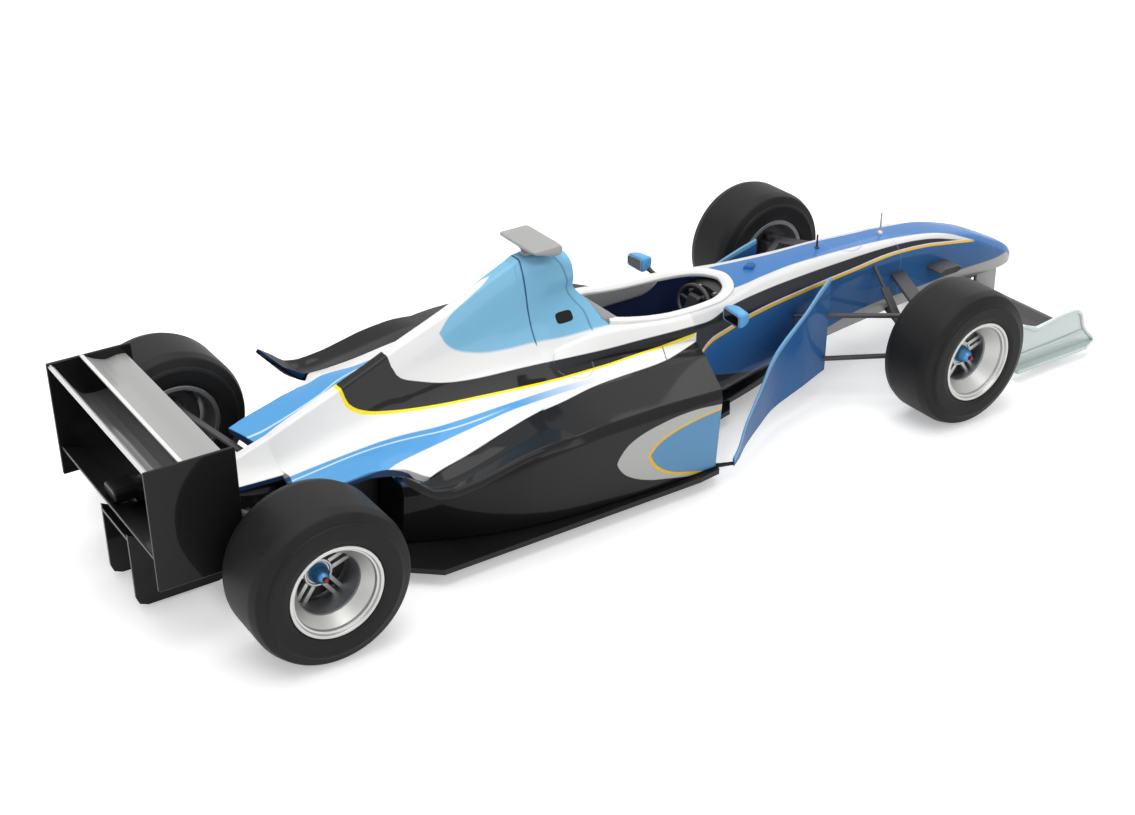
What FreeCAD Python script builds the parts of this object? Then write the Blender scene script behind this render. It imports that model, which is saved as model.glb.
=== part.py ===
import FreeCAD, Part
import math
import os
import re

import Sketcher

# Open-wheel racing car, a 1:18 display model.
# Frame: +Z up, the nose points to -Y, +X is the car's left. The origin is on
# the ground, below the middle of the model's length and width.
# A "station" is a distance behind the front axle; place() turns it into Y.

doc = FreeCAD.newDocument("OpenWheelRacer")
Vector = FreeCAD.Vector

# ---------------------------------------------------------------- sizes (mm)

SIZES = [
    # alias, value, meaning
    ("wheelbase", 174.4, "front axle to rear axle"),
    ("front_axle_place", -72.0, "Y of the front axle"),
    ("front_face", 46.8, "centre plane to the outer face of a front rim"),
    ("rear_face", 48.0, "centre plane to the outer face of a rear rim"),
    ("tyre_radius", 17.4, "tyre outside radius, also the axle height"),
    ("front_tyre_width", 16.6, "width of a front tyre"),
    ("rear_tyre_width", 18.2, "width of a rear tyre"),
    ("sidewall_proud", 0.4, "tyre sidewall beyond the rim face"),
    ("shoulder_radius", 3.2, "rounding of the tyre shoulder"),
    ("rim_radius", 10.25, "outside radius of the rim, where the tyre sits"),
    ("bead_height", 1.2, "tyre bead above the rim"),
    ("rim_wall", 1.1, "rim barrel thickness"),
    ("lip_depth", 0.9, "depth of the step in the rim lip"),
    ("lip_wall", 0.7, "thickness of the rim lip"),
    ("dish_step", 0.6, "inner dish inboard of the barrel's inside"),
    ("rim_recess", 8.6, "rim face back to the spoke disc"),
    ("disc_thickness", 1.8, "spoke disc thickness"),
    ("hub_radius", 3.0, "hub radius"),
    ("axle_radius", 1.5, "stub axle radius"),
    ("axle_clearance", 0.05, "radial clearance of a wheel on its stub axle"),
    ("spoke_pairs", 5, "pairs of spokes"),
    ("window_inner", 4.0, "inner radius of a gap between spokes"),
    ("slot_inset", 0.9, "narrow gap starts this much further out"),
    ("window_rim_gap", 0.55, "spoke gap to the rim barrel"),
    ("wide_window_angle", 40.0, "angle of a wide gap between spoke pairs, degrees"),
    ("slot_angle", 9.0, "angle of the narrow gap inside a pair, degrees"),
    ("hub_proud", 0.4, "hub boss ahead of the spoke disc"),
    ("nut_seat", 0.3, "hub boss wider than the base of the wheel nut"),
    ("nut_face", 1.0, "solid nose of the wheel nut ahead of the hub boss"),
    ("nut_length", 4.2, "wheel nut length"),
    ("nut_tip_radius", 1.0, "wheel nut tip radius"),
    ("drum_radius", 7.2, "brake drum radius"),
    ("drum_gap", 0.6, "brake drum to the spoke disc"),
    ("drum_length", 1.6, "brake drum length"),
    ("carrier_radius", 2.4, "radius of the tube between brake drum and upright"),
    ("stub_reach", 1.0, "stub axle end ahead of the spoke disc"),
    ("kingpin_offset", 15.0, "kingpin inboard of the outer sidewall"),
    ("kingpin_radius", 0.7, "kingpin radius"),
    ("kingpin_clearance", 0.05, "radial clearance of the kingpin in an eye"),
    ("eye_radius", 1.5, "wishbone eye radius"),
    ("eye_height", 1.4, "wishbone eye thickness"),
    ("eye_gap", 0.25, "upright block to a wishbone eye"),
    ("block_height", 8.8, "upright block height"),
    ("block_width", 3.4, "upright block width"),
    ("block_length", 5.0, "upright block length"),
    ("neck_length", 3.4, "kingpin to the fork of a wishbone"),
    ("neck_width", 2.0, "width of a wishbone between eye and fork"),
    ("arm_lap", 0.4, "a wishbone arm's end inside the neck"),
    ("arm_thickness", 1.0, "wishbone arm thickness"),
    ("arm_chord", 1.7, "wishbone arm chord"),
    ("floor_half_width", 36.0, "half width of the floor"),
    ("floor_height", 3.2, "ground to the underside of the floor"),
    ("floor_thickness", 1.3, "floor thickness"),
    ("floor_tyre_gap", 3.2, "floor edge to the inside of a rear tyre"),
    ("plank_front", 50.0, "front axle to the front of the plank"),
    ("plank_rear_gap", 6.0, "rear of the plank ahead of the rear axle"),
    ("plank_half_width", 8.3, "half width of the plank"),
    ("plank_thickness", 0.9, "plank thickness"),
    ("cover_front", 102.2, "station of the joint ahead of the engine cover"),
    ("side_wall", 15.0, "centre plane to the side of the tub, where a sidepod meets it"),
    ("panel_gap", 0.05, "gap between a sidepod and the engine cover"),
    ("base_screw_spacing", 80.0, "between the two base screw holes"),
    ("base_screw_radius", 1.25, "base screw pilot hole radius"),
    ("base_screw_depth", 4.5, "depth of a base screw hole"),
    ("wing_tyre_gap", 2.8, "rear endplate to the inside of a rear tyre"),
    ("wing_corner_radius", 1.5, "rounding of a rear endplate's corners"),
    ("wing_endplate_thickness", 0.8, "rear endplate thickness"),
    ("wing_endplate_bottom", 16.3, "rear endplate bottom edge height"),
    ("wing_endplate_top", 43.1, "rear endplate top edge height"),
    ("wing_front", 9.6, "rear endplate front edge behind the rear axle"),
    ("wing_rear", 28.2, "rear endplate rear edge behind the rear axle"),
    ("front_wing_height", 6.4, "ground to the underside of the front wing"),
    ("front_foot_height", 2.6, "ground to the underside of a foot plate"),
    ("front_foot_thickness", 1.2, "thickness of a foot plate"),
    ("front_wing_half_span", 35.4, "centre plane to the outside of a front endplate"),
    ("front_wing_endplate_thickness", 0.8, "front endplate thickness"),
    ("front_foot_half_span", 37.8, "centre plane to the edge of the foot plate"),
    ("tunnel_half_width", 7.6, "centre plane to the outside of a diffuser wall"),
    ("sheet_thickness", 0.7, "thickness of the diffuser's walls and roof"),
    ("bargeboard_thickness", 0.6, "thickness of a bargeboard"),
]

sheet = doc.addObject("Spreadsheet::Sheet", "Sizes")
for row, (alias, value, meaning) in enumerate(SIZES, start=1):
    sheet.set(f"A{row}", meaning)
    sheet.set(f"B{row}", str(value))
    sheet.setAlias(f"B{row}", alias)
doc.recompute()


def size(alias):
    """Value of a named size."""
    return float(sheet.get(alias))


# The stations in the tables belong to a wheelbase of DRAWN_WHEELBASE. The middle
# of the car stretches with the wheelbase; both ends keep to their own axle.
MIDDLE_FROM = 40.0
MIDDLE_TO = 140.0
DRAWN_WHEELBASE = 174.4


def place(station):
    """Y of a station, a distance behind the front axle."""
    stretch = size("wheelbase") - DRAWN_WHEELBASE
    share = min(max((station - MIDDLE_FROM) / (MIDDLE_TO - MIDDLE_FROM), 0.0), 1.0)
    return size("front_axle_place") + station + stretch * share


FRONT_AXLE = size("front_axle_place")
REAR_AXLE = FRONT_AXLE + size("wheelbase")
RIGHT, LEFT = -1, 1
SIDES = (("right", RIGHT), ("left", LEFT))

# ------------------------------------------------------------------- helpers

parts = {}


def keep(label, thing):
    """Register a finished sub-part under its own label."""
    thing.Label = label
    parts[label] = thing
    return thing


def keep_shape(label, shape):
    """Store a shape made with Part's own functions as a sub-part."""
    feature = doc.addObject("Part::Feature", label)
    feature.Shape = shape
    feature.Placement = FreeCAD.Placement()
    return keep(label, feature)


SLIVER = 0.02  # mm3, scraps smaller than this are dropped after a cut


def seated(shape, *labels):
    """The shape, cut back to where it meets the named sub-parts."""
    doc.recompute()
    for label in labels:
        shape = shape.cut(parts[label].Shape)
    solids = [solid for solid in shape.Solids if solid.Volume > SLIVER]
    return Part.makeCompound(solids) if len(solids) > 1 else solids[0]


def largest(shape):
    """The largest solid of a shape."""
    return max(shape.Solids, key=lambda solid: solid.Volume)


def new_sketch(body, role, name):
    """A sketch on one of the body's own origin planes."""
    sketch = body.newObject("Sketcher::SketchObject", name)
    plane = [f for f in body.Origin.OriginFeatures if f.Role == role][0]
    sketch.AttachmentSupport = [(plane, "")]
    sketch.MapMode = "FlatFace"
    return sketch


def outline(sketch, corners):
    """A closed outline of lines; each corner is a pair of expressions."""
    values = [[float(sheet.evalExpression(term)) for term in corner] for corner in corners]
    count = len(corners)
    for i in range(count):
        start = Vector(*values[i], 0)
        end = Vector(*values[(i + 1) % count], 0)
        sketch.addGeometry(Part.LineSegment(start, end))
    for i in range(count):
        sketch.addConstraint(Sketcher.Constraint("Coincident", i, 2, (i + 1) % count, 1))
    for i, corner in enumerate(corners):
        for kind, term, value in zip(("DistanceX", "DistanceY"), corner, values[i]):
            index = sketch.addConstraint(Sketcher.Constraint(kind, -1, 1, i, 1, value))
            sketch.setExpression(f"Constraints[{index}]", named(term))


def named(term):
    """An expression with each alias written as a reference to the sheet."""
    return re.sub(r"[a-z][a-z_]+", lambda word: "Sizes." + word.group(), term)


MOST_OF_HALF = 0.48  # share of a side that the arc at one of its corners may use


def rounded_wire(points, radii, station):
    """Closed wire of lines and tangent arcs in the plane of a station."""
    y = place(station)
    count = len(points)
    ends = []
    for i in range(count):
        here = Vector(points[i][0], y, points[i][1])
        before = Vector(points[i - 1][0], y, points[i - 1][1])
        after = Vector(points[(i + 1) % count][0], y, points[(i + 1) % count][1])
        to_before = (before - here).normalize()
        to_after = (after - here).normalize()
        half = to_before.getAngle(to_after) / 2
        reach = radii[i] / math.tan(half)
        reach = min(reach, MOST_OF_HALF * min((before - here).Length, (after - here).Length))
        radius = reach * math.tan(half)
        centre = here + (to_before + to_after).normalize() * (radius / math.sin(half))
        first = here + to_before * reach
        last = here + to_after * reach
        middle = centre + (here - centre).normalize() * radius
        ends.append((first, middle, last))
    edges = []
    for i in range(count):
        first, middle, last = ends[i]
        edges.append(Part.Arc(first, middle, last).toShape())
        edges.append(Part.LineSegment(last, ends[(i + 1) % count][0]).toShape())
    return Part.Wire(edges)


def mirrored_ring(half, radius, station):
    """Ring through half-section points (from bottom to top) and their mirror image."""
    right = [(-x, z) for x, z in half]
    left = [(x, z) for x, z in reversed(half)]
    points = right + left
    return rounded_wire(points, [radius] * len(points), station)


def shell(table, radius):
    """Solid through a table of half sections: station, then (x, z) points bottom to top."""
    rings = [mirrored_ring(half, radius, station) for station, half in table]
    return Part.makeLoft(rings, True, True)


def blade(start, end, chord, thickness):
    """Arm of flat oval section from start to end, its chord along Y."""
    along = end - start
    side = along.cross(Vector(0, 1, 0)).normalize()
    chord_way = side.cross(along).normalize()
    reach = (chord - thickness) / 2
    rise = thickness / 2
    section = (
        (-reach, -rise), (reach, -rise), (reach + rise, 0),
        (reach, rise), (-reach, rise), (-reach - rise, 0),
    )
    p = [start + chord_way * u + side * v for u, v in section]
    edges = [
        Part.LineSegment(p[0], p[1]).toShape(),
        Part.Arc(p[1], p[2], p[3]).toShape(),
        Part.LineSegment(p[3], p[4]).toShape(),
        Part.Arc(p[4], p[5], p[0]).toShape(),
    ]
    return Part.Face(Part.Wire(edges)).extrude(along)


def rod(start, end, radius):
    """Round rod from start to end."""
    return Part.makeCylinder(radius, (end - start).Length, start, end - start)


def slab(low, high):
    """Box between two corners given as x, station, z."""
    corner = Vector(low[0], place(low[1]), low[2])
    far = Vector(high[0], place(high[1]), high[2])
    return Part.makeBox(far.x - corner.x, far.y - corner.y, far.z - corner.z, corner)


def prism_x(profile, x_from, x_to):
    """Solid from a closed (station, z) profile, between two planes of X."""
    points = [Vector(x_from, place(station), z) for station, z in profile]
    face = Part.Face(Part.makePolygon(points + points[:1]))
    return face.extrude(Vector(x_to - x_from, 0, 0))


def prism_z(profile, z_from, z_to):
    """Solid from a closed (x, station) plan, between two heights."""
    points = [Vector(x, place(station), z_from) for x, station in profile]
    face = Part.Face(Part.makePolygon(points + points[:1]))
    return face.extrude(Vector(0, 0, z_to - z_from))


def mirror(shape):
    """The shape on the other side of the car."""
    return shape.mirror(Vector(0, 0, 0), Vector(1, 0, 0))


# -------------------------------------------------------------------- wheels
# A wheel is drawn about the axle along X with its outer face towards -X.


def revolve_body(label, corners, face, axle, side):
    """PartDesign body revolved about the wheel's axle; corners are (depth, radius)."""
    body = doc.addObject("PartDesign::Body", label)
    sketch = new_sketch(body, "XY_Plane", label + "_section")
    outline(sketch, corners)
    revolution = body.newObject("PartDesign::Revolution", label + "_turned")
    revolution.Profile = sketch
    revolution.ReferenceAxis = (sketch, ["H_Axis"])
    revolution.Angle = 360
    sketch.Visibility = False
    turn = FreeCAD.Rotation() if side == RIGHT else FreeCAD.Rotation(Vector(0, 0, 1), 180)
    body.Placement = FreeCAD.Placement(Vector(side * size(face), 0, 0), turn)
    body.setExpression("Placement.Base.x", f"{side} * Sizes.{face}")
    y_term = "Sizes.front_axle_place" if axle == "front" else "Sizes.front_axle_place + Sizes.wheelbase"
    body.setExpression("Placement.Base.y", y_term)
    body.setExpression("Placement.Base.z", "Sizes.tyre_radius")
    return keep(label, body)


def make_tyre(label, face, width, axle, side):
    """Slick tyre with rounded shoulders."""
    corners = [
        ("-sidewall_proud", "rim_radius + bead_height"),
        ("-sidewall_proud", "tyre_radius"),
        (f"{width} - sidewall_proud", "tyre_radius"),
        (f"{width} - sidewall_proud", "rim_radius + bead_height"),
        (f"{width} - 2 * sidewall_proud", "rim_radius"),
        ("0", "rim_radius"),
    ]
    body = revolve_body(label, corners, face, axle, side)
    doc.recompute()
    turned = body.Tip
    edges = []
    for index, edge in enumerate(turned.Shape.Edges, start=1):
        circle = edge.Curve
        if hasattr(circle, "Radius") and abs(circle.Radius - size("tyre_radius")) < 1e-6:
            edges.append(f"Edge{index}")
    fillet = body.newObject("PartDesign::Fillet", label + "_shoulders")
    fillet.Base = (turned, sorted(set(edges)))
    fillet.Radius = size("shoulder_radius")
    fillet.setExpression("Radius", "Sizes.shoulder_radius")
    return body


def make_rim(label, face, width, axle, side):
    """Deep-dish rim: barrel, spoke disc with windows, and hub bored for the stub axle."""
    corners = [
        ("0", "rim_radius"),
        (f"{width} - 2 * sidewall_proud", "rim_radius"),
        (f"{width} - 2 * sidewall_proud", "rim_radius - rim_wall"),
        ("rim_recess + disc_thickness", "rim_radius - rim_wall"),
        ("rim_recess + disc_thickness", "axle_radius + axle_clearance"),
        ("rim_recess - hub_proud", "axle_radius + axle_clearance"),
        ("rim_recess - hub_proud", "hub_radius"),
        ("rim_recess", "hub_radius"),
        ("rim_recess", "rim_radius - rim_wall - dish_step"),
        ("lip_depth + lip_wall", "rim_radius - rim_wall - dish_step"),
        ("lip_depth", "rim_radius - lip_wall"),
        ("0", "rim_radius - lip_wall"),
    ]
    body = revolve_body(label, corners, face, axle, side)
    doc.recompute()
    solid_volume = body.Shape.Volume
    outer = "rim_radius - rim_wall - dish_step - window_rim_gap"
    half_pitch = 180.0 / size("spoke_pairs")
    openings = (
        ("wide", "window_inner", size("wide_window_angle"), 0.0),
        ("slot", "window_inner + slot_inset", size("slot_angle"), half_pitch),
    )
    for name, near, opening, lead in openings:
        sketch = new_sketch(body, "YZ_Plane", f"{label}_{name}_outline")
        window_outline(sketch, near, outer, opening, lead)
        pocket = body.newObject("PartDesign::Pocket", f"{label}_{name}_window")
        pocket.Profile = sketch
        pocket.Type = 1
        pocket.Midplane = True
        sketch.Visibility = False
        doc.recompute()
        pattern = body.newObject("PartDesign::PolarPattern", f"{label}_{name}_windows")
        pattern.Originals = [pocket]
        pattern.Axis = (sketch, ["N_Axis"])
        pattern.Angle = 360
        pattern.setExpression("Occurrences", "Sizes.spoke_pairs")
        body.Tip = pattern
        doc.recompute()
    if not body.Shape.Volume < solid_volume:
        raise RuntimeError(f"{label}: the spoke windows cut nothing")
    return body


def window_outline(sketch, near_term, outer_term, opening, lead):
    """Ring-sector window between two radii, centred on the angle lead."""
    start = math.radians(lead - opening / 2)
    end = math.radians(lead + opening / 2)
    near, outer = (float(sheet.evalExpression(term)) for term in (near_term, outer_term))
    for radius in (outer, near):
        circle = Part.Circle(Vector(0, 0, 0), Vector(0, 0, 1), radius)
        sketch.addGeometry(Part.ArcOfCircle(circle, start, end))

    def at(radius, angle):
        return Vector(radius * math.cos(angle), radius * math.sin(angle), 0)

    sketch.addGeometry(Part.LineSegment(at(near, start), at(outer, start)))
    sketch.addGeometry(Part.LineSegment(at(outer, end), at(near, end)))
    for constraint in (
        ("Coincident", 2, 2, 0, 1),
        ("Coincident", 0, 2, 3, 1),
        ("Coincident", 3, 2, 1, 2),
        ("Coincident", 1, 1, 2, 1),
        ("Coincident", 0, 3, -1, 1),
        ("Coincident", 1, 3, -1, 1),
    ):
        sketch.addConstraint(Sketcher.Constraint(*constraint))
    for arc, term, radius in ((0, outer_term, outer), (1, near_term, near)):
        index = sketch.addConstraint(Sketcher.Constraint("Radius", arc, radius))
        sketch.setExpression(f"Constraints[{index}]", named(term))


def make_nut(label, face, axle, side):
    """Cone-shaped wheel nut on the hub, hollow behind so that it clears the stub axle."""
    corners = [
        ("rim_recess - hub_proud", "hub_radius - nut_seat"),
        ("rim_recess - hub_proud - nut_length", "nut_tip_radius"),
        ("rim_recess - hub_proud - nut_length", "0"),
        ("rim_recess - hub_proud - nut_face", "0"),
        ("rim_recess - hub_proud - nut_face", "axle_radius + axle_clearance"),
        ("rim_recess - hub_proud", "axle_radius + axle_clearance"),
    ]
    return revolve_body(label, corners, face, axle, side)


def wheel_set(axle, side_name, side):
    """Tyre, rim and nut of one wheel."""
    face = f"{axle}_face"
    width = f"{axle}_tyre_width"
    make_tyre(f"{axle}_tyre_{side_name}", face, width, axle, side)
    make_rim(f"{axle}_rim_{side_name}", face, width, axle, side)
    make_nut(f"{axle}_wheel_nut_{side_name}", face, axle, side)


for axle_name in ("front", "rear"):
    for side_label, side_sign in SIDES:
        wheel_set(axle_name, side_label, side_sign)
doc.recompute()


def wheel_inside(axle):
    """X of the kingpin line of a right-hand wheel."""
    return -(size(f"{axle}_face") + size("sidewall_proud") - size("kingpin_offset"))


def upright_shape(axle):
    """Right-hand upright: block, brake drum and stub axle."""
    y = FRONT_AXLE if axle == "front" else REAR_AXLE
    height = size("tyre_radius")
    pin_x = wheel_inside(axle)
    disc_face = -(size(f"{axle}_face") - size("rim_recess"))
    drum_face = disc_face + size("disc_thickness") + size("drum_gap")
    block_size = Vector(size("block_width"), size("block_length"), size("block_height"))
    block = Part.makeBox(*block_size, Vector(pin_x, y, height) - block_size / 2)

    def on_axle(x_from, x_to, radius):
        return Part.makeCylinder(radius, x_to - x_from, Vector(x_from, y, height), Vector(1, 0, 0))

    drum = on_axle(drum_face, drum_face + size("drum_length"), size("drum_radius"))
    carrier = on_axle(drum_face, pin_x, size("carrier_radius"))
    stub = on_axle(disc_face - size("stub_reach"), drum_face, size("axle_radius"))
    return block.fuse([drum, carrier, stub])


def front_upright():
    """Steered front upright with its kingpin."""
    y = FRONT_AXLE
    pin_half = size("block_height") / 2 + size("eye_gap") + size("eye_height")
    foot = Vector(wheel_inside("front"), y, size("tyre_radius") - pin_half)
    pin = Part.makeCylinder(size("kingpin_radius"), 2 * pin_half, foot)
    return upright_shape("front").fuse(pin).removeSplitter()


keep_shape("front_upright_right", front_upright())
keep_shape("front_upright_left", mirror(front_upright()))
keep_shape("rear_upright_right", upright_shape("rear").removeSplitter())
keep_shape("rear_upright_left", mirror(upright_shape("rear").removeSplitter()))

# --------------------------------------------------------------------- floor

floor_low = size("floor_height")
floor_high = floor_low + size("floor_thickness")
EDGE = size("floor_half_width")
TYRE_INSIDE = "rear_face + sidewall_proud - rear_tyre_width"
waist = float(sheet.evalExpression(f"{TYRE_INSIDE} - floor_tyre_gap"))

FLOOR_PLAN = [
    # x, station of the right half, from the splitter back
    (-9.0, 46.0), (-14.0, 50.0), (-17.0, 62.0), (-EDGE + 0.8, 70.0), (-EDGE, 76.0),
    (-EDGE, 144.0), (-waist - 3.0, 151.0), (-waist, 156.0), (-waist, 170.0),
]
PLANK_FRONT = "front_axle_place + plank_front"
PLANK_REAR = "front_axle_place + wheelbase - plank_rear_gap"
SCREW_PLACES = [
    f"({PLANK_FRONT} + {PLANK_REAR}) / 2 - base_screw_spacing / 2",
    f"({PLANK_FRONT} + {PLANK_REAR}) / 2 + base_screw_spacing / 2",
]


def screw_holes():
    """The two base screw holes, drilled up from the underside of the plank."""
    underside = floor_low - size("plank_thickness")
    holes = []
    for term in SCREW_PLACES:
        start = Vector(0, float(sheet.evalExpression(term)), underside)
        holes.append(Part.makeCylinder(size("base_screw_radius"), size("base_screw_depth"), start))
    return Part.makeCompound(holes)


floor_plan = FLOOR_PLAN + [(-x, station) for x, station in reversed(FLOOR_PLAN)]
keep_shape("floor", prism_z(floor_plan, floor_low, floor_high).cut(screw_holes()))

# The diffuser is bent sheet: flat panels behind the floor, and a tunnel with
# upright walls in the middle.
SHEET = size("sheet_thickness")
ROOF = [(170.0, floor_high - SHEET), (174.0, 5.0), (184.0, 8.6), (193.0, 13.0), (201.2, 16.8)]
PANELS = ROOF[:3]
PANEL_HALF_WIDTH = 18.0
TUNNEL_WALL = [
    # station, z round the wall: underside, rear edge, then forward along the roof
    (170.0, floor_low), (176.0, 3.2), (183.0, 0.6), (198.8, 0.6), (200.6, 1.4), (201.2, 3.0),
    (201.2, 18.4), (196.0, 15.6), (184.0, 9.3), (174.0, 5.7), (170.0, floor_high),
]


def bent_sheet(underside, half_width):
    """Sheet across the car, bent along the (station, z) line of its underside."""
    top = [(station, z + SHEET) for station, z in reversed(underside)]
    return prism_x(underside + top, -half_width, half_width)


tunnel = size("tunnel_half_width")
walls = [prism_x(TUNNEL_WALL, x, x + SHEET) for x in (-tunnel, tunnel - SHEET)]
roof = bent_sheet(ROOF, tunnel)
keep_shape("diffuser", seated(roof.multiFuse([bent_sheet(PANELS, PANEL_HALF_WIDTH)] + walls), "floor"))

plank = doc.addObject("PartDesign::Body", "plank")
plank_sketch = new_sketch(plank, "XY_Plane", "plank_plan")
outline(plank_sketch, [
    ("-plank_half_width", PLANK_FRONT),
    ("plank_half_width", PLANK_FRONT),
    ("plank_half_width", PLANK_REAR),
    ("-plank_half_width", PLANK_REAR),
])
plank_pad = plank.newObject("PartDesign::Pad", "plank_pad")
plank_pad.Profile = plank_sketch
plank_pad.Length = size("plank_thickness")
plank_pad.setExpression("Length", "Sizes.plank_thickness")
hole_sketch = new_sketch(plank, "XY_Plane", "plank_holes")
for index, y_term in enumerate(SCREW_PLACES):
    y = float(sheet.evalExpression(y_term))
    hole_sketch.addGeometry(Part.Circle(Vector(0, y, 0), Vector(0, 0, 1), size("base_screw_radius")))
    hole_sketch.addConstraint(Sketcher.Constraint("PointOnObject", index, 3, -2))
    height = hole_sketch.addConstraint(Sketcher.Constraint("DistanceY", -1, 1, index, 3, y))
    hole_sketch.setExpression(f"Constraints[{height}]", named(y_term))
    radius = hole_sketch.addConstraint(Sketcher.Constraint("Radius", index, size("base_screw_radius")))
    hole_sketch.setExpression(f"Constraints[{radius}]", "Sizes.base_screw_radius")
doc.recompute()
plank_volume = plank.Shape.Volume
plank_holes = plank.newObject("PartDesign::Pocket", "plank_screw_holes")
plank_holes.Profile = hole_sketch
plank_holes.Type = 1
plank_holes.Midplane = True
doc.recompute()
if not plank.Shape.Volume < plank_volume:
    raise RuntimeError("plank: the screw holes cut nothing")
plank.setExpression("Placement.Base.z", "Sizes.floor_height - Sizes.plank_thickness")
keep("plank", plank)
doc.recompute()

# ------------------------------------------------------------- nose and tub
# Half sections run from the keel up: keel, side, shoulder, deck.

COVER_FRONT = size("cover_front")
SIDE_WALL = size("side_wall")
NOSE_JOINT = -9.6
NOSE_JOINT_SECTION = [(4.8, 12.2), (8.2, 17.4), (8.4, 29.6), (5.2, 31.9)]
NOSE = [
    # station, [(keel), (side), (shoulder), (deck)] as x, z
    (-58.6, [(0.9, 14.0), (1.7, 14.4), (1.7, 15.4), (0.9, 15.9)]),
    (-57.4, [(1.8, 13.5), (2.9, 14.3), (2.8, 16.6), (1.7, 17.4)]),
    (-54.5, [(2.8, 13.4), (4.4, 14.6), (4.3, 17.8), (2.6, 19.4)]),
    (-50.0, [(3.6, 13.4), (5.6, 15.0), (5.5, 19.6), (3.3, 21.4)]),
    (-40.0, [(4.0, 13.2), (7.0, 16.2), (6.8, 24.0), (4.2, 26.2)]),
    (-25.0, [(4.4, 12.8), (7.8, 17.4), (7.6, 27.8), (4.8, 30.2)]),
    (NOSE_JOINT, NOSE_JOINT_SECTION),
]
TUB = [
    (NOSE_JOINT, NOSE_JOINT_SECTION),
    (15.0, [(5.4, 10.0), (8.8, 15.5), (9.4, 29.6), (5.8, 33.3)]),
    (36.0, [(7.0, 7.5), (11.2, 12.5), (11.8, 29.6), (7.4, 33.2)]),
    (52.0, [(8.5, 5.6), (SIDE_WALL - 1.6, 10.5), (SIDE_WALL - 1.0, 29.8), (SIDE_WALL - 3.4, 32.7)]),
    (66.0, [(9.5, floor_high), (SIDE_WALL - 0.4, 9.5), (SIDE_WALL, 30.0), (SIDE_WALL - 2.2, 33.0)]),
    (88.0, [(9.5, floor_high), (SIDE_WALL, 9.5), (SIDE_WALL, 31.0), (SIDE_WALL - 2.6, 35.2)]),
    (COVER_FRONT, [(9.5, floor_high), (SIDE_WALL, 9.5), (SIDE_WALL, 29.0), (SIDE_WALL - 5.0, 31.0)]),
]
COCKPIT_FLOOR = 9.0
COCKPIT_TOP = 44.0
COCKPIT = [
    # x, station round the rim of the opening, right half from the front
    (0.0, 44.6), (-4.6, 45.8), (-8.4, 48.8), (-10.6, 53.4), (-11.3, 60.0),
    (-11.3, 68.0), (-10.6, 76.0), (-8.4, 82.0),
]

opening_plan = COCKPIT + [(-x, station) for x, station in reversed(COCKPIT[1:])]
cockpit_void = prism_z(opening_plan, COCKPIT_FLOOR, COCKPIT_TOP)
keep_shape("nose_cone", shell(NOSE, 1.6))
keep_shape("cockpit_tub", shell(TUB, 1.6).cut(cockpit_void).cut(screw_holes()))

# --------------------------------------------------- airbox and engine cover

AIRBOX = [
    # station, half section from the flank up
    (91.2, [(3.0, 44.4), (4.4, 46.4), (4.4, 50.4), (2.8, 52.1)]),
    (96.5, [(3.4, 42.6), (5.0, 45.6), (4.8, 51.0), (2.6, 53.2)]),
    (COVER_FRONT, [(4.4, 38.0), (5.4, 42.6), (4.2, 49.6), (2.0, 53.1)]),
]
COLLAR = [
    # cover between the cockpit and the airbox
    (84.0, [(7.5, 35.2), (9.0, 36.0), (7.5, 38.2), (3.0, 38.8)]),
    (92.0, [(9.5, 33.5), (10.5, 35.5), (6.6, 41.2), (2.4, 43.6)]),
    (COVER_FRONT, [(10.5, 31.0), (10.8, 33.6), (6.4, 40.6), (2.4, 44.0)]),
]
INTAKE = [
    (90.0, [(2.6, 45.4), (3.4, 46.8), (3.4, 50.0), (2.2, 51.2)]),
    (100.6, [(2.2, 45.8), (3.0, 47.0), (3.0, 49.6), (1.8, 50.8)]),
]
DECK_EDGE = [
    # station, then x, z where the cover meets the sidepods: underside, edge
    (COVER_FRONT, [(22.6, 25.0), (23.0, 27.3)]),
    (120.0, [(25.0, 23.6), (25.5, 26.0)]),
    (134.0, [(26.4, 21.0), (27.0, 23.9)]),
    (146.5, [(23.4, 20.8), (24.2, 23.3)]),
    (157.5, [(19.2, 21.0), (20.0, 23.2)]),
    (169.4, [(11.8, 22.2), (12.5, 24.4)]),
]
COVER_RIDGE = [
    # at the stations of the deck edge: deck, foot of the ridge, flank, spine
    [(13.5, 30.6), (8.4, 34.4), (4.6, 45.0), (1.8, 53.0)],
    [(13.0, 29.6), (7.4, 32.4), (3.8, 39.4), (1.5, 45.2)],
    [(12.5, 28.4), (6.6, 30.6), (3.4, 36.0), (1.4, 39.9)],
    [(11.8, 27.0), (5.8, 28.6), (3.0, 32.0), (1.3, 34.5)],
    [(10.5, 25.4), (5.0, 26.4), (2.6, 28.5), (1.2, 30.0)],
    [(7.5, 24.7), (4.0, 24.9), (2.4, 25.2), (1.2, 25.6)],
]
COVER_TAIL = [
    # narrow tail over the gearbox
    (166.0, [(3.0, 18.6), (4.0, 19.6), (3.8, 23.4), (1.2, 26.4)]),
    (177.0, [(2.6, 20.0), (3.4, 21.0), (3.2, 22.0), (1.0, 23.2)]),
]
ENGINE = [
    # station, half section
    (COVER_FRONT, [(8.0, floor_high), (12.0, 8.0), (12.0, 22.0), (9.0, 27.0)]),
    (150.0, [(7.0, floor_high), (10.0, 8.0), (10.0, 19.0), (7.0, 23.0)]),
    (160.0, [(4.0, floor_high), (6.4, 8.0), (6.4, 15.0), (4.0, 17.6)]),
]

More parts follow.
